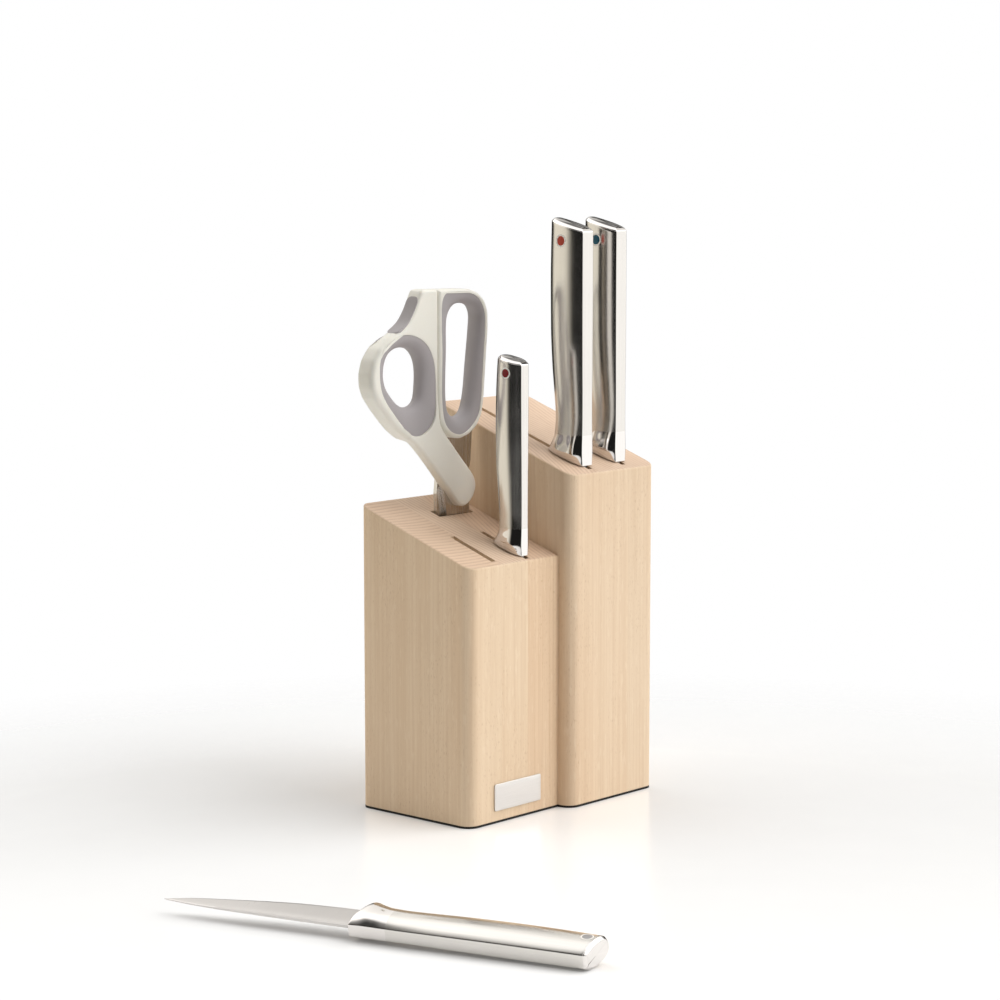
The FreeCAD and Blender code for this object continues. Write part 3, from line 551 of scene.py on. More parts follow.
def moulded(name, outer, holes, material, front, back, r_out, r_in=0.45, fill_step=2.2, sharp=50.0, arcs=6, sides=6):
    """A moulded piece standing in the XZ plane. outer and holes are even, closed outlines (x, z).
    front(x, z) and back(x, z) give its depth; r_out(x, z) its edge radius."""
    outer = ccw(outer)
    holes = [ccw(h) for h in holes]
    verts, faces = [], []

    def add(points):
        base = len(verts)
        verts.extend(points)
        return base

    def depth_at(x, z, u, d, r):
        """u 0 front .. 1 back, d: distance below the nearer face"""
        f, b = front(x, z), back(x, z)
        return f + d if u == 0 else b - d

    rims = {0: [], 1: []}
    for loop, is_hole in [(outer, False)] + [(h, True) for h in holes]:
        nrm = inward(loop) * (-1 if is_hole else 1)
        n = len(loop)
        rows = []
        rr = np.array([(r_in if is_hole else r_out(x, z)) for x, z in loop])
        for u in (0, 1):
            chain = []
            for k in range(arcs + 1):
                t = math.pi / 2 * k / arcs
                inset = rr * (1 - math.cos(t))
                d = rr * (1 - math.sin(t))
                q = loop + nrm * inset[:, None]
                chain.append([(q[i, 0], depth_at(loop[i, 0], loop[i, 1], u, d[i], rr[i]), q[i, 1]) for i in range(n)])
            rows.append(chain)
        front_chain = rows[0][::-1]        # from the face to the side
        back_chain = rows[1]               # from the side to the face
        mid = []
        for s in range(1, sides):
            f = s / sides
            mid.append([tuple((1 - f) * np.array(front_chain[-1][i]) + f * np.array(back_chain[0][i])) for i in range(n)])
        strip = front_chain + mid + back_chain
        base = add([p for row in strip for p in row])
        faces.extend(grid_faces(len(strip), n, True, base))
        rims[0].append([base + i for i in range(n)])
        rims[1].append([base + (len(strip) - 1) * n + i for i in range(n)])
    for u in (0, 1):
        loops = [[(verts[i][0], verts[i][2]) for i in rim] for rim in rims[u]]
        pts, edges, ids = [], [], []
        for rim, lp in zip(rims[u], loops):
            b = len(pts)
            pts.extend(Vector(p) for p in lp)
            ids.extend(rim)
            edges.extend((b + i, b + (i + 1) % len(lp)) for i in range(len(lp)))
        arrays = [np.array(lp) for lp in loops]
        lo, hi = arrays[0].min(0), arrays[0].max(0)
        row = 0
        z = lo[1] + fill_step * 0.5
        while z < hi[1]:
            x = lo[0] + fill_step * (0.5 if row % 2 else 0.0)
            while x < hi[0]:
                if inside((x, z), arrays[0]) and not any(inside((x, z), h) for h in arrays[1:]):
                    if min(np.min(np.hypot(a[:, 0] - x, a[:, 1] - z)) for a in arrays) > fill_step * 0.45:
                        pts.append(Vector((x, z)))
                        ids.append(None)
                x += fill_step
            z += fill_step * 0.87
            row += 1
        res = delaunay_2d_cdt(pts, edges, [], 1, 1e-6, True)
        out_v, out_f, orig = res[0], res[2], res[3]
        mapped = []
        for v, o in zip(out_v, orig):
            if o and ids[o[0]] is not None:
                mapped.append(ids[o[0]])
            else:
                y = front(v.x, v.y) if u == 0 else back(v.x, v.y)
                mapped.append(add([(v.x, y, v.y)]))
        for f in out_f:
            c = (sum(out_v[i].x for i in f) / len(f), sum(out_v[i].y for i in f) / len(f))
            if inside(c, arrays[0]) and not any(inside(c, h) for h in arrays[1:]):
                faces.append([mapped[i] for i in (f if u == 0 else reversed(f))])
    return make_object(name, verts, faces, material, True, sharp)


def liner(name, rim, hole, material, y0, y1, n=220, m=22, power=0.85):
    """a soft ring that fills a loop: full at its middle depth, where its hole is smallest"""
    rim, hole = ccw(rim), ccw(hole)
    c = hole.mean(0)
    P = resample(rim, n=n)
    ang = np.arctan2(P[:, 1] - c[1], P[:, 0] - c[0])
    H = resample(hole, n=1400)
    ha = np.arctan2(H[:, 1] - c[1], H[:, 0] - c[0])
    order = np.argsort(ha)
    ha, Hs = ha[order], H[order]
    hx = np.interp(ang, np.concatenate([ha - 2 * math.pi, ha, ha + 2 * math.pi]), np.tile(Hs[:, 0], 3))
    hz = np.interp(ang, np.concatenate([ha - 2 * math.pi, ha, ha + 2 * math.pi]), np.tile(Hs[:, 1], 3))
    Q = np.stack([hx, hz], 1)
    # ease the pairing so that neighbouring ribs stay even
    for _ in range(6):
        Q = 0.5 * Q + 0.25 * (np.roll(Q, 1, axis=0) + np.roll(Q, -1, axis=0))
    verts = []
    mid, half = (y0 + y1) / 2, (y1 - y0) / 2
    for j in range(m + 1):
        t = -math.pi / 2 + math.pi * j / m
        a = math.cos(t) ** power
        y = mid + half * math.copysign(abs(math.sin(t)) ** 0.92, t)
        q = P + (Q - P) * a
        verts += [(q[i, 0], y, q[i, 1]) for i in range(n)]
    faces = grid_faces(m + 1, n)
    # the outside, hidden in the shell
    b = len(verts)
    verts += [(P[i, 0], y0, P[i, 1]) for i in range(n)] + [(P[i, 0], y1, P[i, 1]) for i in range(n)]
    faces += [(b + i, b + (i + 1) % n, b + n + (i + 1) % n, b + n + i) for i in range(n)]
    return make_object(name, verts, faces, material, True, 60.0)


# ------------------------------------------------------------------ plate and pad
def rounded_rect(x0, x1, z0, z1, r, step=0.25):
    pts = []
    for cx, cz, a0 in ((x1 - r, z0 + r, -90), (x1 - r, z1 - r, 0), (x0 + r, z1 - r, 90), (x0 + r, z0 + r, 180)):
        for k in range(7):
            a = math.radians(a0 + 15.0 * k)
            pts.append((cx + r * math.cos(a), cz + r * math.sin(a)))
    return polyline(pts, step)


plate = moulded("name_plate_steel", rounded_rect(-51.4, -14.9, 6.6, 20.9, 0.8, 0.5), [], M_PLATE,
                lambda x, z: -40.4, lambda x, z: -39.55, lambda x, z: 0.22, fill_step=2.0, arcs=3, sides=2)
place(plate, "block", "plate_steel", "name_plate")

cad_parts["base_pad"].data.materials.clear()
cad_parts["base_pad"].data.materials.append(M_PAD)
M_DOWEL = wood("beech_dowel", (0.02, 0.02), (0.96, 0.94, 0.92), 23.0, 2.0, 1.0)
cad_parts["joining_dowels"].data.materials.clear()
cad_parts["joining_dowels"].data.materials.append(M_DOWEL)

# ------------------------------------------------------------------ knives
LARGE = [(-3, 11.0, 25.4, 7.8, 3.0), (2, 14.0, 25.6, 8.2, 3.4), (7, 15.8, 25.5, 8.6, 4.0), (11, 15.0, 23.4, 8.6, 3.6),
         (17, 13.0, 21.1, 8.4, 2.6), (26, 12.2, 20.5, 8.2, 2.2), (38, 12.6, 21.3, 8.2, 2.1), (54, 13.6, 22.7, 8.5, 2.1),
         (74, 14.4, 23.6, 8.7, 2.1), (100, 14.6, 23.8, 8.8, 2.1), (136, 14.4, 23.0, 8.6, 2.1)]
SMALL = [(-3, 9.6, 20.0, 4.6, 3.0), (2, 12.2, 20.2, 4.8, 3.4), (6, 13.8, 20.2, 5.0, 4.0), (9.5, 13.0, 18.0, 5.0, 3.4),
         (14, 11.6, 16.2, 5.0, 2.6), (22, 10.9, 16.3, 5.0, 2.2), (34, 11.2, 17.2, 5.1, 2.1), (50, 12.1, 18.2, 5.3, 2.1),
         (68, 13.0, 18.3, 5.6, 2.1), (88, 13.4, 17.7, 5.8, 2.1), (110, 13.3, 16.1, 5.6, 2.1)]
MIDDLE = [(-3, 9.8, 20.4, 5.6, 3.0), (2, 12.6, 20.6, 5.8, 3.2), (7, 13.9, 20.4, 6.0, 3.2), (11, 13.6, 18.8, 6.0, 2.8),
          (16, 13.0, 17.6, 6.0, 2.4), (25, 12.6, 17.3, 6.0, 2.2), (38, 12.6, 17.9, 6.2, 2.1), (56, 12.9, 18.7, 6.4, 2.1),
          (76, 13.0, 19.1, 6.6, 2.1), (98, 12.8, 18.9, 6.6, 2.1), (124, 12.6, 17.8, 6.4, 2.1)]
DOTS = {"chef": (6.4, 13.0), "santoku": (6.4, 12.1), "paring": (5.9, 8.0), "utility": (3.7, 11.2)}
CUT, CAP_T, GAP = SLOPE, 1.8, 0.5
BLADES = {
    "chef": [(1.4, 2.0), (1.3, -60), (1.5, -105), (4.5, -128), (11.5, -148), (24.0, -166.0), (33.0, -146), (39.5, -115),
             (43.0, -75), (44.0, -35), (44.0, 1.0), (42.6, 4.0), (25.5, 5.0)],
    "santoku": [(1.4, 2.0), (1.3, -60), (2.0, -95), (8.0, -118), (19.0, -134), (33.0, -143.0), (36.5, -128), (39.0, -100),
                (40.6, -60), (41.0, -25), (41.0, 1.0), (39.6, 4.0), (25.5, 5.0)],
    "paring": [(1.2, 2.0), (1.2, -40), (2.6, -58), (6.5, -74), (13.5, -89.0), (17.0, -72), (19.4, -50), (20.3, -25),
               (20.3, -3.0), (19.6, -0.5), (17.0, 3.0)],
    "utility": [(2.8, 2.0), (2.8, -30), (3.1, -70), (4.0, -86.5), (5.3, -98.5), (9.0, -86.0), (12.7, -63.7), (15.2, -47),
                (16.8, -34), (17.8, -18), (18.2, -4.0), (17.6, 0.5), (15.5, 6.0)],
}
BLADE_T = {"chef": 2.3, "santoku": 2.1, "paring": 1.7, "utility": 1.9}
KNIVES = {
    "chef": (LARGE, 126.5, 0.25, 16.5),
    "santoku": (LARGE, 126.5, 0.25, 16.5),
    "paring": (SMALL, 102.5, 0.20, 14.5),
    "utility": (MIDDLE, 115.2, 0.20, 18.5),
}
N_FLAT, N_SIDE, N_BELLY = 12, 42, 44
NCOL = 2 * (N_FLAT + N_SIDE + N_BELLY)
MID, BELLY = 0.46, 2.6


def pchip(table, k, z):
    zs = np.array([r[0] for r in table], float)
    v = np.array([r[k] for r in table], float)
    d = np.diff(v) / np.diff(zs)
    m = np.zeros(len(v))
    m[0], m[-1] = d[0], d[-1]
    for i in range(1, len(d)):
        m[i] = 0.0 if d[i - 1] * d[i] <= 0 else 2 * d[i - 1] * d[i] / (d[i - 1] + d[i])
    i = int(np.clip(np.searchsorted(zs, z) - 1, 0, len(d) - 1))
    h = zs[i + 1] - zs[i]
    t = (z - zs[i]) / h
    return ((2 * t ** 3 - 3 * t ** 2 + 1) * v[i] + (t ** 3 - 2 * t ** 2 + t) * h * m[i]
            + (-2 * t ** 3 + 3 * t ** 2) * v[i + 1] + (t ** 3 - t ** 2) * h * m[i + 1])


def section_ring(T, W, flat, full):
    """closed outline of the handle: a crisp flat along the spine, bulging sides, a rounded belly.
    The first point is mid spine; every column keeps its place on the outline at every height."""
    h, a, ym = T / 2, flat / 2, MID * W
    t = np.linspace(0, 1, 60)
    side_xy = np.stack([a + (h - a) * (1 - (1 - t) ** full), t * ym], 1)
    ang = np.linspace(0, math.pi / 2, 120)[1:]
    c, n_ = np.clip(np.cos(ang), 0, 1), np.sin(ang)
    belly_xy = np.stack([h * c ** (2 / BELLY), ym + (W - ym) * n_ ** (2 / BELLY)], 1)
    belly_xy[-1] = (0.0, W)
    half = np.vstack([[(0.0, 0.0)], side_xy, belly_xy])
    full_xy = np.vstack([half, np.stack([-half[-2:0:-1, 0], half[-2:0:-1, 1]], 1)])
    seg = np.linalg.norm(np.diff(half, axis=0), axis=1)
    cum = np.concatenate([[0], np.cumsum(seg)])
    L1, L2, L3 = cum[1], cum[len(side_xy)], cum[-1]
    per = 2 * L3
    P = polyline(full_xy, 0.07)
    step = per / len(P)
    P = gauss(P, 0.32, step)
    i1 = np.linspace(0, 1, N_FLAT, endpoint=False)
    i2 = np.linspace(0, 1, N_SIDE, endpoint=False)
    i3 = np.linspace(0, 1, N_BELLY + 1)
    pos = np.concatenate([L1 * (1 - (1 - i1) ** 1.7), L1 + (L2 - L1) * i2 ** 1.5, L2 + (L3 - L2) * i3])
    pos = np.concatenate([pos, per - pos[-2:0:-1]])
    R = np.vstack([P, P[:1]])
    s = np.arange(len(R)) * step
    return np.stack([np.interp(pos, s, R[:, 0]), np.interp(pos, s, R[:, 1])], 1)


class Handle:
    def __init__(self, table, z1):
        self.z0, self.step = -3.0, 0.75
        self.zs = np.arange(self.z0, z1 + 12, self.step)
        self.rings = np.array([section_ring(*[pchip(table, k, min(z, table[-1][0])) for k in (1, 2, 3, 4)]) for z in self.zs])

    def at(self, z):
        """z: one height per column -> (NCOL, 2)"""
        f = np.clip((np.asarray(z, float) - self.z0) / self.step, 0, len(self.zs) - 1.001)
        i = f.astype(int)
        t = (f - i)[:, None]
        c = np.arange(NCOL)
        return self.rings[i, c] * (1 - t) + self.rings[i + 1, c] * t

    def skin(self, y, z):
        """half thickness of the handle at y, z"""
        q = self.at(np.full(NCOL, z))[N_FLAT:N_FLAT + N_SIDE + N_BELLY]
        return float(np.interp(y, q[:, 1], q[:, 0]))

    def plane(self, base, slope):
        z = np.full(NCOL, float(base))
        for _ in range(12):
            z = base + slope * self.at(z)[:, 1]
        return z

    def rows(self, z_low, z_high, n):
        out = []
        for j in range(n + 1):
            z = z_low + (z_high - z_low) * (j / n)
            q = self.at(z)
            out.append(np.column_stack([q, z]))
        return out

    def inset(self, z, d, lift=0.0):
        """the ring at z, moved inwards by d"""
        q = self.at(z)
        P = q if signed_area(q) > 0 else q
        nrm = inward(q) if signed_area(q) > 0 else -inward(q)
        k = q + nrm * d
        return np.column_stack([k, z + lift])


def ring_surface(name, rows, material, cap_first=True, cap_last=True, sharp=40.0, transform=None):
    verts = [tuple(p) for r in rows for p in r]
    n = len(rows[0])
    faces = grid_faces(len(rows), n)

    def cap(row, base, flip):
        """closes a ring with ever smaller copies of itself, so that the flat end has even faces"""
        c = row.mean(0)
        prev = base
        for f in (0.8, 0.55, 0.3, 0.1):
            b = len(verts)
            verts.extend(tuple(c + (p - c) * f) for p in row)
            for i in range(n):
                k = (i + 1) % n
                q = (prev + i, prev + k, b + k, b + i)
                faces.append(q[::-1] if flip else q)
            prev = b
        b = len(verts)
        verts.append(tuple(c))
        for i in range(n):
            k = (i + 1) % n
            t = (prev + i, prev + k, b)
            faces.append(t[::-1] if flip else t)

    if cap_first:
        cap(rows[0], 0, True)
    if cap_last:
        cap(rows[-1], (len(rows) - 1) * n, False)
    if transform is not None:
        verts = [tuple(transform @ Vector(v)) for v in verts]
    return make_object(name, verts, faces, material, True, sharp)


def blade_mesh(name, knife, material, transform):
    pts = BLADES[knife]
    tip = min(range(len(pts)), key=lambda i: pts[i][1])
    spine = resample(np.array(pts[:tip + 1]), n=200, closed=False)
    belly = resample(np.array(pts[tip:len(pts) - 1] if knife in ("chef", "santoku") else pts[tip:]), n=260, closed=False)[::-1]
    z_tip, z_top = pts[tip][1], (6.0 if knife == "utility" else 2.0)
    heel = 1.0 if knife in ("chef", "santoku") else 2.9
    zs = z_tip + (z_top - z_tip) * (np.linspace(0, 1, 120) ** 1.35)
    ys = np.interp(zs, spine[::-1, 1], spine[::-1, 0])
    order = np.argsort(belly[:, 1])
    ye = np.interp(zs, belly[order, 1], belly[order, 0])
    ys[0] = ye[0] = pts[tip][0]
    ymax = max(p[0] for p in pts)
    T = BLADE_T[knife]
    m = 26
    verts = []
    sides = []
    length = z_top - z_tip
    for s in (1, -1):
        grid = []
        for z, a, b in zip(zs, ys, ye):
            taper = 0.42 + 0.58 * smoothstep((z - z_tip) / (length * 0.75))
            row = []
            for j in range(m + 1):
                v = j / m
                y = a + (b - a) * v
                depth = max(0.0, (y / ymax - 0.30) / 0.70)
                half = 0.5 * T * taper * (1 - depth ** 1.15) + 0.06
                # spine eased by a small round
                half *= 1.0 - 0.35 * max(0.0, 1 - (y - a) / 0.35)
                # the ground edge
                half *= 1.0 - 0.75 * max(0.0, 1 - (b - y) / 0.7)
                row.append((s * max(half, 0.03), y, z))
            grid.append(row)
        sides.append(grid)
    n = len(zs)
    for grid in sides:
        for row in grid:
            verts.extend(row)
    faces = []
    w = m + 1
    for i in range(n - 1):
        for j in range(m):
            a = i * w + j
            faces.append((a, a + 1, a + w + 1, a + w))
            b = n * w + a
            faces.append((b, b + w, b + w + 1, b + 1))
        a = i * w
        faces.append((a, a + w, n * w + a + w, n * w + a))
        a = i * w + m
        faces.append((a, n * w + a, n * w + a + w, a + w))
    for j in range(m):
        a = (n - 1) * w + j
        faces.append((a, a + 1, n * w + a + 1, n * w + a))
    verts = [tuple(transform @ Vector(v)) for v in verts]
    return make_object(name, verts, faces, material, True, 30.0)


def disc_profile(profile, n=64):
    """a turned piece about the x axis: profile of (radius, height)"""
    verts, faces = [], []
    for r, h in profile:
        for i in range(n):
            a = 2 * math.pi * i / n
            verts.append((h, r * math.cos(a), r * math.sin(a)))
    faces = grid_faces(len(profile), n)
    return verts, faces


def knife(name, transform, body, mats):
    table, spine_top, top_slope, collar = KNIVES[name]
    H = Handle(table, spine_top + 12)
    m_handle, m_polish, m_blade = mats
    low = H.plane(0.0, CUT)
    edge = 0.35
    flat = np.full(NCOL, collar)
    # bolster: rounded bottom edge and sides, up to the collar
    rows = []
    for k in range(5):
        t = math.pi / 2 * k / 4
        rows.append(H.inset(low + edge * (1 - math.cos(t)), edge * (1 - math.sin(t))))
    rows[0][:, 2] = low
    body_rows = H.rows(low + edge, flat, 60)
    rows += body_rows[1:]
    ob = ring_surface(name + "_bolster_polished", rows, m_polish, transform=transform)
    place(ob, body, "polished_steel", name + "_bolster")
    # handle
    capz = H.plane(spine_top - CAP_T, top_slope)
    rows = H.rows(flat, capz - 0.06, 90) + [H.inset(capz, 0.04)]
    ob = ring_surface(name + "_handle_shell", rows, m_handle, transform=transform)
    place(ob, body, "brushed_steel", name + "_handle")
    # end cap: rounded shoulder and a faintly crowned top
    topz = H.plane(spine_top, top_slope)
    rows = [H.inset(capz, 0.04), H.inset(capz + 0.06, 0.0)]
    for drop, d in ((1.55, 0.0), (1.40, 0.02), (1.26, 0.10), (1.14, 0.22), (0.85, 0.50), (0.50, 0.86), (0.26, 1.10), (0.13, 1.28),
                    (0.05, 1.50), (0.015, 1.75), (0.0, 2.1)):
        rows.append(H.inset(topz, d, -drop))
    ob = ring_surface(name + "_cap_polished", rows, m_polish, transform=transform, sharp=60.0)
    place(ob, body, "polished_steel", name + "_end_cap")
    # dot and ring on both sides
    small = table is not LARGE
    k = 0.86 if small else 1.0
    zt, yc = spine_top - DOTS[name][0], DOTS[name][1]
    ro, ri = 3.5 * k, 2.7 * k
    ring_p = [(ri, -0.5), (ri, 0.02), (ri + 0.06, 0.09), (ri + 0.20, 0.13), (ro - 0.25, 0.12), (ro - 0.08, 0.07), (ro, 0.0), (ro, -0.5)]
    dot_p = [(0.001, 0.10), (ri * 0.3, 0.095), (ri * 0.6, 0.075), (ri * 0.85, 0.04), (ri - 0.02, 0.0), (ri - 0.02, -0.5), (0.001, -0.5)]
    for piece, prof, mat, slot in (("dot_ring", ring_p, M_RING, "polished_steel"), ("dot", dot_p, M_DOTS[name], DOT_SLOT[name])):
        V, F = [], []
        for s in (1, -1):
            v, f = disc_profile(prof)
            b = len(V)
            V += [(s * (H.skin(yc + p[1], zt + p[2]) - 0.01 + p[0]), yc + p[1], zt + p[2]) for p in v]
            F += [tuple(b + i for i in (q if s > 0 else q[::-1])) for q in f]
            if piece == "dot_ring":
                n = 64
                m = len(prof)
                F += [tuple(b + i for i in (j, (j + 1) % n, (m - 1) * n + (j + 1) % n, (m - 1) * n + j)) for j in range(n)]
        V = [tuple(transform @ Vector(p)) for p in V]
        ob = make_object("%s_%s_inlay" % (name, piece), V, F, mat, True, 50.0)
        place(ob, body, slot, "%s_%s" % (name, piece))
    ob = blade_mesh(name + "_blade_ground", name, m_blade, transform)
    place(ob, body, "blade_steel", name + "_blade")


DOT_SLOT = {"chef": "dot_orange", "santoku": "dot_teal", "paring": "dot_red", "utility": "dot_grey"}
for kn, kx, ky, kt in (("chef", X_CHEF, -41.3, True), ("santoku", X_SANTOKU, -41.3, True), ("paring", X_PARING, -36.0, False)):
    knife(kn, Matrix.Translation((kx, ky, ztop(ky, kt) + GAP)), kn + "_knife", (M_HANDLE, M_POLISH, M_BLADE))

ya, pa, ra = math.radians(107.39), math.radians(0.35), math.radians(14.0)
u = Vector((math.cos(ya), math.sin(ya), 0))
side = Vector((math.sin(ya), -math.cos(ya), 0))
zl = Vector((-u.x * math.cos(pa), -u.y * math.cos(pa), -math.sin(pa)))
up = zl.cross(side).normalized()
yl = side * math.cos(ra) + up * (math.sin(ra) if up.z > 0 else -math.sin(ra))
xl = yl.cross(zl)
org = Vector((-250.1, -157.2, 5.133)) - zl * 21.5
LIE = Matrix(((xl.x, yl.x, zl.x, org.x), (xl.y, yl.y, zl.y, org.y), (xl.z, yl.z, zl.z, org.z), (0, 0, 0, 1)))
M_HANDLE_L = steel("handle_brushed_lying", (0.70, 0.675, 0.640), 0.18, tuple(zl), 0.03, 5200, 16, 0.08, 0.04)
M_POLISH_L = steel("bolster_polished_lying", (0.74, 0.71, 0.685), 0.055, tuple(zl), 0.012, 3000, 60, 0.03, 0.0)
M_BLADE_L = steel("blade_satin_lying", (0.60, 0.575, 0.555), 0.30, tuple(yl), 0.02, 1800, 30, 0.04, 0.0)
knife("utility", LIE, "utility_knife", (M_HANDLE_L, M_POLISH_L, M_BLADE_L))

# ------------------------------------------------------------------ scissors
FRONT_Y, BACK_Y, ARM_Y0, ARM_Y1 = 13.0, 25.0, 11.8, 18.85
THUMB_OUT = [(-36.75, 277.7), (-48.9, 278.0), (-52.0, 272.4), (-55.1, 266.7), (-59.7, 261.1), (-65.7, 257.2), (-73.2, 253.3),
             (-80.2, 248.4), (-84.9, 242.4), (-87.1, 235.2), (-86.8, 228.4), (-84.2, 222.3), (-78.8, 215.8),
             (-72.8, 209.6), (-66.8, 204.0), (-60.6, 200.0), (-55.2, 196.6), (-48.5, 190.3), (-40.8, 182.2),
             (-34.4, 175.2), (-28.2, 168.6), (-24.6, 164.3), (-21.8, 161.2), (-17.6, 160.2), (-13.4, 161.8),
             (-10.0, 165.2), (-8.2, 169.4), (-8.1, 173.2), (-10.2, 177.4), (-15.0, 182.4), (-21.3, 188.9),
             (-27.6, 195.9), (-33.1, 201.5), (-36.1, 206.1), (-36.75, 211.0)]
FINGER_OUT = [(-36.35, 277.7), (-11.6, 277.2), (-4.8, 275.1), (0.4, 270.9), (3.2, 264.7), (3.3, 255.5), (2.2, 243.7),
              (1.0, 230.2), (-0.2, 216.7), (-1.9, 208.7), (-6.1, 202.6), (-12.1, 198.7), (-18.9, 197.0), (-25.2, 198.0),
              (-30.9, 201.3), (-34.8, 205.4), (-36.35, 211.0)]
THUMB_LINER = [(-81.0, 234.5), (-80.5, 241.7), (-77.8, 247.3), (-72.9, 251.4), (-66.2, 254.1), (-58.6, 254.6), (-51.0, 252.4),
               (-44.9, 248.2), (-41.1, 242.2), (-39.3, 234.6), (-39.2, 215.0), (-40.9, 208.7), (-45.5, 203.4), (-52.8, 200.9),
               (-59.7, 202.6), (-65.0, 207.8), (-71.0, 214.2), (-76.5, 220.6), (-79.8, 226.6)]
THUMB_HOLE = [(-76.0, 233.6), (-75.3, 239.0), (-72.8, 243.9), (-67.8, 247.0), (-60.8, 248.0), (-54.0, 246.4), (-49.5, 242.0),
              (-47.6, 236.2), (-47.9, 227.2), (-49.4, 220.6), (-53.0, 217.2), (-58.8, 216.3), (-65.2, 218.9), (-70.5, 223.6),
              (-74.4, 228.5)]
FINGER_LINER = [(-33.4, 214.6), (-33.5, 244.0), (-33.2, 271.8), (-30.5, 275.2), (-23.1, 275.7), (-12.8, 275.2), (-6.9, 273.2), (-2.5, 269.2),
                (0.0, 263.4), (0.1, 255.6), (-0.9, 243.8), (-2.1, 230.3), (-3.3, 216.9), (-5.0, 209.9), (-9.4, 204.3),
                (-14.6, 200.8), (-20.1, 199.4), (-26.4, 201.4), (-31.1, 206.0)]
FINGER_HOLE = [(-28.3, 221.0), (-27.6, 245.2), (-26.4, 262.2), (-22.2, 268.2), (-14.5, 269.6), (-6.0, 267.2), (-2.8, 262.0),
               (-3.8, 255.3), (-6.4, 239.3), (-9.2, 221.0), (-11.3, 213.0), (-15.5, 209.6), (-21.8, 209.0), (-26.9, 213.2)]
PAD_OUT = [(-70.6, 254.6), (-65.7, 257.2), (-59.7, 261.1), (-55.1, 266.7), (-52.0, 272.4), (-50.4, 275.2), (-47.8, 274.6),
           (-48.6, 270.8), (-52.2, 264.6), (-57.4, 258.4), (-63.6, 254.9)]


def line_side(x, z, px, pz, dx, dz):
    n = math.hypot(dx, dz)
    return ((x - px) * (-dz) + (z - pz) * dx) / n


def thumb_front(x, z):
    s = line_side(x, z, -62.0, 196.5, 32.0, 15.5)
    return ARM_Y0 + (FRONT_Y - ARM_Y0) * float(smoothstep((s + 2.0) / 16.0))


def thumb_back(x, z):
    s = line_side(x, z, -60.0, 196.0, 24.0, 14.5)
    trim = 2.2 * float(smoothstep((z - 248.5) / 3.0)) * float(smoothstep((-44.0 - x) / 3.0))
    return ARM_Y1 + (BACK_Y - ARM_Y1) * float(smoothstep((s + 0.2) / 4.6)) - trim


def thumb_radius(x, z):
    r = 1.7 + 1.5 * float(smoothstep((-50.0 - x) / 16.0))
    if z < 200:
        r = 1.9
    return r


STEP = 0.8
t_out = gauss(polyline(THUMB_OUT, STEP), 1.25, STEP)
f_out = gauss(polyline(FINGER_OUT, STEP), 1.25, STEP)
t_lin = resample(THUMB_LINER, step=STEP)
f_lin = gauss(resample(FINGER_LINER, step=STEP), 0.9, STEP)
t_hole = resample(THUMB_HOLE, step=STEP)
f_hole = gauss(resample(FINGER_HOLE, step=STEP), 1.0, STEP)
ob = moulded("thumb_shell_moulded", t_out, [t_lin], M_CREAM, thumb_front, thumb_back, thumb_radius)
place(ob, "scissors_thumb_half", "cream_plastic", "thumb_half_shell")
ob = moulded("finger_shell_moulded", f_out, [f_lin], M_CREAM, lambda x, z: FRONT_Y, lambda x, z: BACK_Y, lambda x, z: 2.2)
place(ob, "scissors_finger_half", "cream_plastic", "finger_half_shell")
ob = liner("thumb_liner_soft", t_lin, t_hole, M_GREY, FRONT_Y + 0.28, BACK_Y - 0.28)
place(ob, "scissors_thumb_half", "grey_grip", "thumb_liner")
ob = liner("finger_liner_soft", f_lin, f_hole, M_GREY, FRONT_Y + 0.28, BACK_Y - 0.28)
place(ob, "scissors_finger_half", "grey_grip", "finger_liner")


def strip(name, line, y0, y1, proud, depth, material):
    """a soft strip let into the wall under line (x, z), rounded along its edges and at both ends"""
    P = resample(np.array(line, float), n=90, closed=False)
    t = np.gradient(P, axis=0)
    t /= np.linalg.norm(t, axis=1)[:, None]
    nrm = np.stack([-t[:, 1], t[:, 0]], 1)
    length = np.concatenate([[0], np.cumsum(np.linalg.norm(np.diff(P, axis=0), axis=1))])
    m = 24
    verts, faces = [], []
    half, mid = (y1 - y0) / 2, (y0 + y1) / 2
    for i in range(len(P)):
        from_end = min(length[i], length[-1] - length[i])
        r = 3.2
        k = 1.0 if from_end >= r else math.sqrt(max(0.0, 1 - (1 - from_end / r) ** 2))
        w = half * (0.35 + 0.65 * k)
        for j in range(m + 1):
            f = -1 + 2 * j / m
            y = mid + w * f
            lift = proud * (1 - abs(f) ** 6) * (0.3 + 0.7 * k) - 0.03
            q = P[i] + nrm[i] * lift
            verts.append((q[0], y, q[1]))
        for f in (1, -1):
            q = P[i] - nrm[i] * depth
            verts.append((q[0], mid + w * f * 0.98, q[1]))
    w_ = m + 3
    for i in range(len(P) - 1):
        for j in range(w_):
            k = (j + 1) % w_
            faces.append((i * w_ + j, i * w_ + k, (i + 1) * w_ + k, (i + 1) * w_ + j))
    for base in (0, (len(P) - 1) * w_):
        faces.append(tuple(base + j for j in range(w_)))
    return make_object(name, verts, faces, material, True, 50.0)


NOTCH = [(-68.2, 255.95), (-65.7, 257.35), (-59.7, 261.3), (-55.3, 266.7), (-52.2, 272.2), (-51.2, 274.4)]
ob = strip("notch_pad_soft", NOTCH, 13.6, 21.8, 0.22, 1.4, M_GREY)
place(ob, "scissors_thumb_half", "grey_grip", "thumb_notch_pad")
for node in ("thumb_half_blade", "finger_half_blade", "pivot_screw", "pivot_nut"):
    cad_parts[node].data.materials.clear()
    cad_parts[node].data.materials.append(M_SCISSOR)

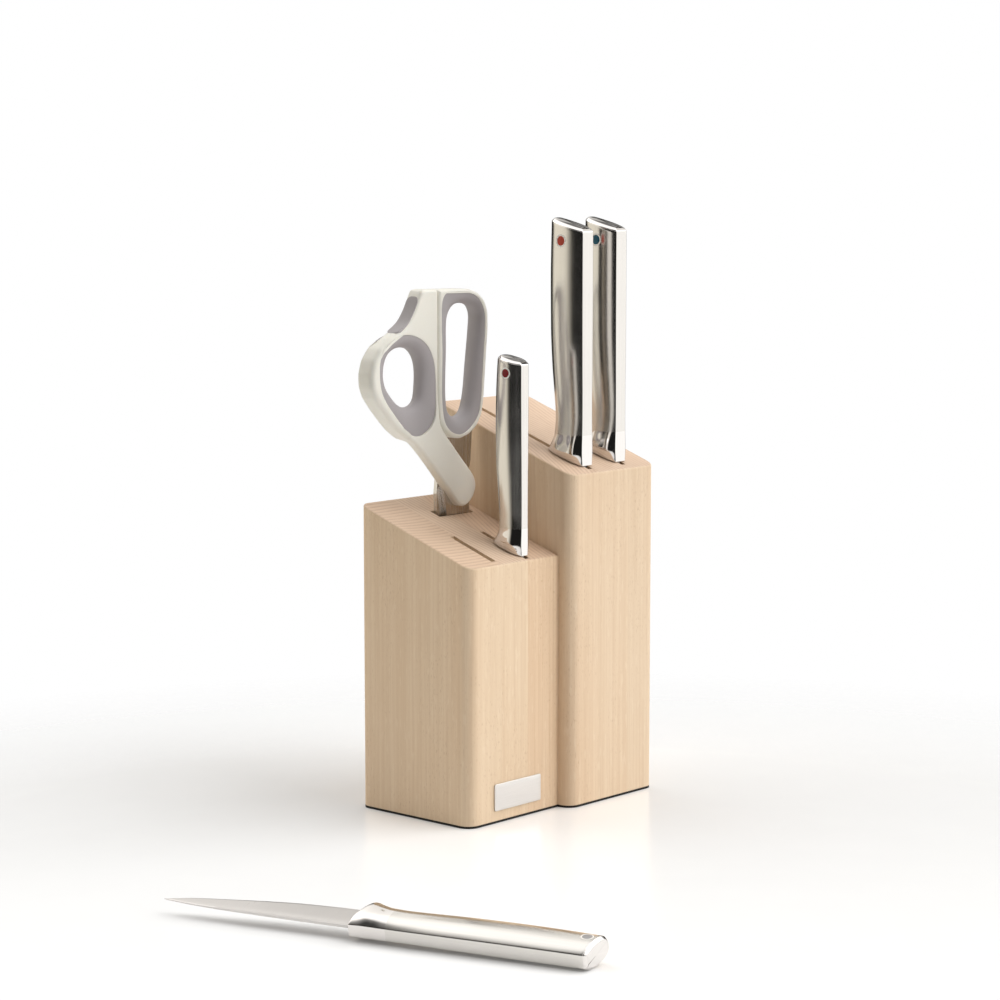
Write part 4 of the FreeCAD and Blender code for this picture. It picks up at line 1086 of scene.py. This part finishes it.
# ------------------------------------------------------------------ floor, light, camera
fl = Mat("floor_white")
fco = fl.coords()
fn = fl.noise(fl.mapping(fco, scale=(30, 30, 30)), 1.0, 2.0)
fl.link(fl.mix(fl.remap(fn, 0.3, 0.7, 0.0, 1.0), (0.90, 0.90, 0.90), (0.91, 0.91, 0.91)), fl.p.inputs["Base Color"])
fl.p.inputs["Roughness"].default_value = 0.22
fl.p.inputs["Specular IOR Level"].default_value = 0.35
fl.p.inputs["Emission Color"].default_value = (1.0, 1.0, 1.0, 1.0)
fl.p.inputs["Emission Strength"].default_value = 0.07
tr = fl.add("ShaderNodeBsdfTransparent")
mixs = fl.add("ShaderNodeMixShader")
ln = fl.add("ShaderNodeVectorMath", operation="LENGTH")
fl.link(fl.mapping(fco, loc=(0.09, 0.09, 0)), ln.inputs[0])
fade = fl.remap(ln.outputs["Value"], 0.38, 0.62, 0.0, 1.0)
fl.link(fade, mixs.inputs[0])
fl.link(fl.p.outputs[0], mixs.inputs[1])
fl.link(tr.outputs[0], mixs.inputs[2])
out = fl.t.nodes["Material Output"]
fl.link(mixs.outputs[0], out.inputs["Surface"])
bm = bmesh.new()
bmesh.ops.create_circle(bm, cap_ends=True, radius=0.70, segments=96)
fm = bpy.data.meshes.new("floor")
bm.to_mesh(fm)
bm.free()
floor = bpy.data.objects.new("floor", fm)
floor.location = (-0.09, -0.09, 0)
fm.transform(Matrix.Translation((0, 0, -0.00005)))
scene.collection.objects.link(floor)
fm.materials.append(fl.m)

world = bpy.data.worlds.new("studio")
scene.world = world
world.use_nodes = True
wt = world.node_tree
for n in list(wt.nodes):
    wt.nodes.remove(n)


def wn(kind, **kw):
    n = wt.nodes.new(kind)
    for k, v in kw.items():
        setattr(n, k, v)
    return n


def wmath(op, a, b=None, clamp=False):
    n = wn("ShaderNodeMath", operation=op)
    n.use_clamp = clamp
    for i, v in enumerate((a, b)):
        if v is None:
            continue
        if isinstance(v, bpy.types.NodeSocket):
            wt.links.new(v, n.inputs[i])
        else:
            n.inputs[i].default_value = v
    return n.outputs[0]


tc = wn("ShaderNodeTexCoord")
sp = wn("ShaderNodeSeparateXYZ")
wt.links.new(tc.outputs["Generated"], sp.inputs[0])
az = wmath("ARCTAN2", sp.outputs["Y"], sp.outputs["X"])
az = wmath("DIVIDE", wmath("ADD", az, 2 * math.pi), 2 * math.pi)
az = wmath("FRACT", az)
el = wmath("ARCSINE", sp.outputs["Z"])
el = wmath("ADD", wmath("DIVIDE", el, math.pi), 0.5)          # 0 straight down, 1 straight up


def wramp(fac, stops, interp="LINEAR"):
    n = wn("ShaderNodeValToRGB")
    n.color_ramp.interpolation = interp
    wt.links.new(fac, n.inputs["Fac"])
    e = n.color_ramp.elements
    while len(e) < len(stops):
        e.new(0.5)
    for k, (pos, col) in zip(e, stops):
        k.position = pos
        k.color = (col[0], col[1], col[2], 1) if isinstance(col, (tuple, list)) else (col, col, col, 1)
    return n.outputs["Color"]


def deg(a):
    return (a % 360.0) / 360.0


# the light by azimuth, low and half way up: soft boxes at the front right and the back left, dark towards the camera
WARM = (1.0, 0.945, 0.82)
COOL = (1.0, 0.985, 0.955)
FRONT = (1.0, 0.995, 0.985)
LOW = [(0, 0.07, COOL), (38, 0.07, COOL), (48, 0.02, COOL), (97, 0.02, WARM), (108, 1.05, WARM), (130, 1.10, WARM), (146, 0.98, WARM),
       (157, 0.50, WARM), (168, 0.045, WARM), (176, 0.015, COOL), (262, 0.015, COOL), (276, 1.15, FRONT), (290, 1.40, FRONT),
       (338, 1.40, FRONT), (350, 0.30, FRONT), (359.9, 0.07, COOL)]
HIGH = [(0, 0.95, COOL), (35, 0.90, COOL), (60, 1.45, COOL), (99, 2.0, COOL), (138, 1.6, COOL), (154, 0.40, COOL), (166, 0.06, COOL),
        (258, 0.06, COOL), (270, 2.8, FRONT), (290, 3.5, FRONT), (342, 3.5, FRONT), (354, 1.1, COOL), (359.9, 0.95, COOL)]
TOP = 1.50


def dv(e):
    return (e + 90.0) / 180.0


def wmix(fac, a, b):
    n = wn("ShaderNodeMix", data_type="RGBA")
    wt.links.new(fac, n.inputs[0])
    for key, v in ((6, a), (7, b)):
        if isinstance(v, bpy.types.NodeSocket):
            wt.links.new(v, n.inputs[key])
        else:
            n.inputs[key].default_value = v
    return n.outputs[2]


SCALE = 4.0


def ring_of_light(table):
    col = wramp(az, [(deg(a), tuple(v * c / SCALE for c in tint)) for a, v, tint in table])
    n = wn("ShaderNodeMix", data_type="RGBA", blend_type="MULTIPLY")
    n.inputs[0].default_value = 1.0
    wt.links.new(col, n.inputs[6])
    n.inputs[7].default_value = (SCALE, SCALE, SCALE, 1)
    return n.outputs[2]


low_c, high_c = ring_of_light(LOW), ring_of_light(HIGH)
up_a = wramp(el, [(0.0, 0.0), (dv(18), 0.0), (dv(32), 1.0), (1.0, 1.0)])
up_b = wramp(el, [(0.0, 0.0), (dv(56), 0.0), (dv(70), 1.0), (1.0, 1.0)])
sky = wmix(up_b, wmix(up_a, low_c, high_c), (TOP, TOP, TOP, 1))
low_mix = wramp(el, [(0.0, 1.0), (dv(-45), 1.0), (dv(-22), 0.0), (1.0, 0.0)])
below = wmix(low_mix, sky, (0.55, 0.55, 0.55, 1))
bg = wn("ShaderNodeBackground")
wt.links.new(below, bg.inputs["Color"])
bg.inputs["Strength"].default_value = 1.0
bgc = wn("ShaderNodeBackground")
bgc.inputs["Color"].default_value = (1, 1, 1, 1)
bgc.inputs["Strength"].default_value = 1.0
lp = wn("ShaderNodeLightPath")
ms = wn("ShaderNodeMixShader")
wt.links.new(lp.outputs["Is Camera Ray"], ms.inputs[0])
wt.links.new(bg.outputs[0], ms.inputs[1])
wt.links.new(bgc.outputs[0], ms.inputs[2])
wo = wn("ShaderNodeOutputWorld")
wt.links.new(ms.outputs[0], wo.inputs["Surface"])

cam_data = bpy.data.cameras.new("camera")
cam = bpy.data.objects.new("camera", cam_data)
scene.collection.objects.link(cam)
a, p = math.radians(-48.14166), math.radians(7.13852)
cr = Vector((math.cos(a), math.sin(a), 0))
ch = Vector((-math.sin(a), math.cos(a), 0))
cf = ch * math.cos(p) - Vector((0, 0, 1)) * math.sin(p)
cu = ch * math.sin(p) + Vector((0, 0, 1)) * math.cos(p)
cpos = Vector((-1.094495, -0.978392, 0.347014))
cam.matrix_world = Matrix(((cr.x, cu.x, -cf.x, cpos.x), (cr.y, cu.y, -cf.y, cpos.y), (cr.z, cu.z, -cf.z, cpos.z), (0, 0, 0, 1)))
cam_data.lens = 98.4815
cam_data.sensor_width = 36.0
cam_data.clip_start, cam_data.clip_end = 0.05, 20.0
scene.camera = cam
scene.view_settings.view_transform = "Standard"
scene.view_settings.look = "None"
scene.view_settings.exposure = 0.0
scene.cycles.use_denoising = True
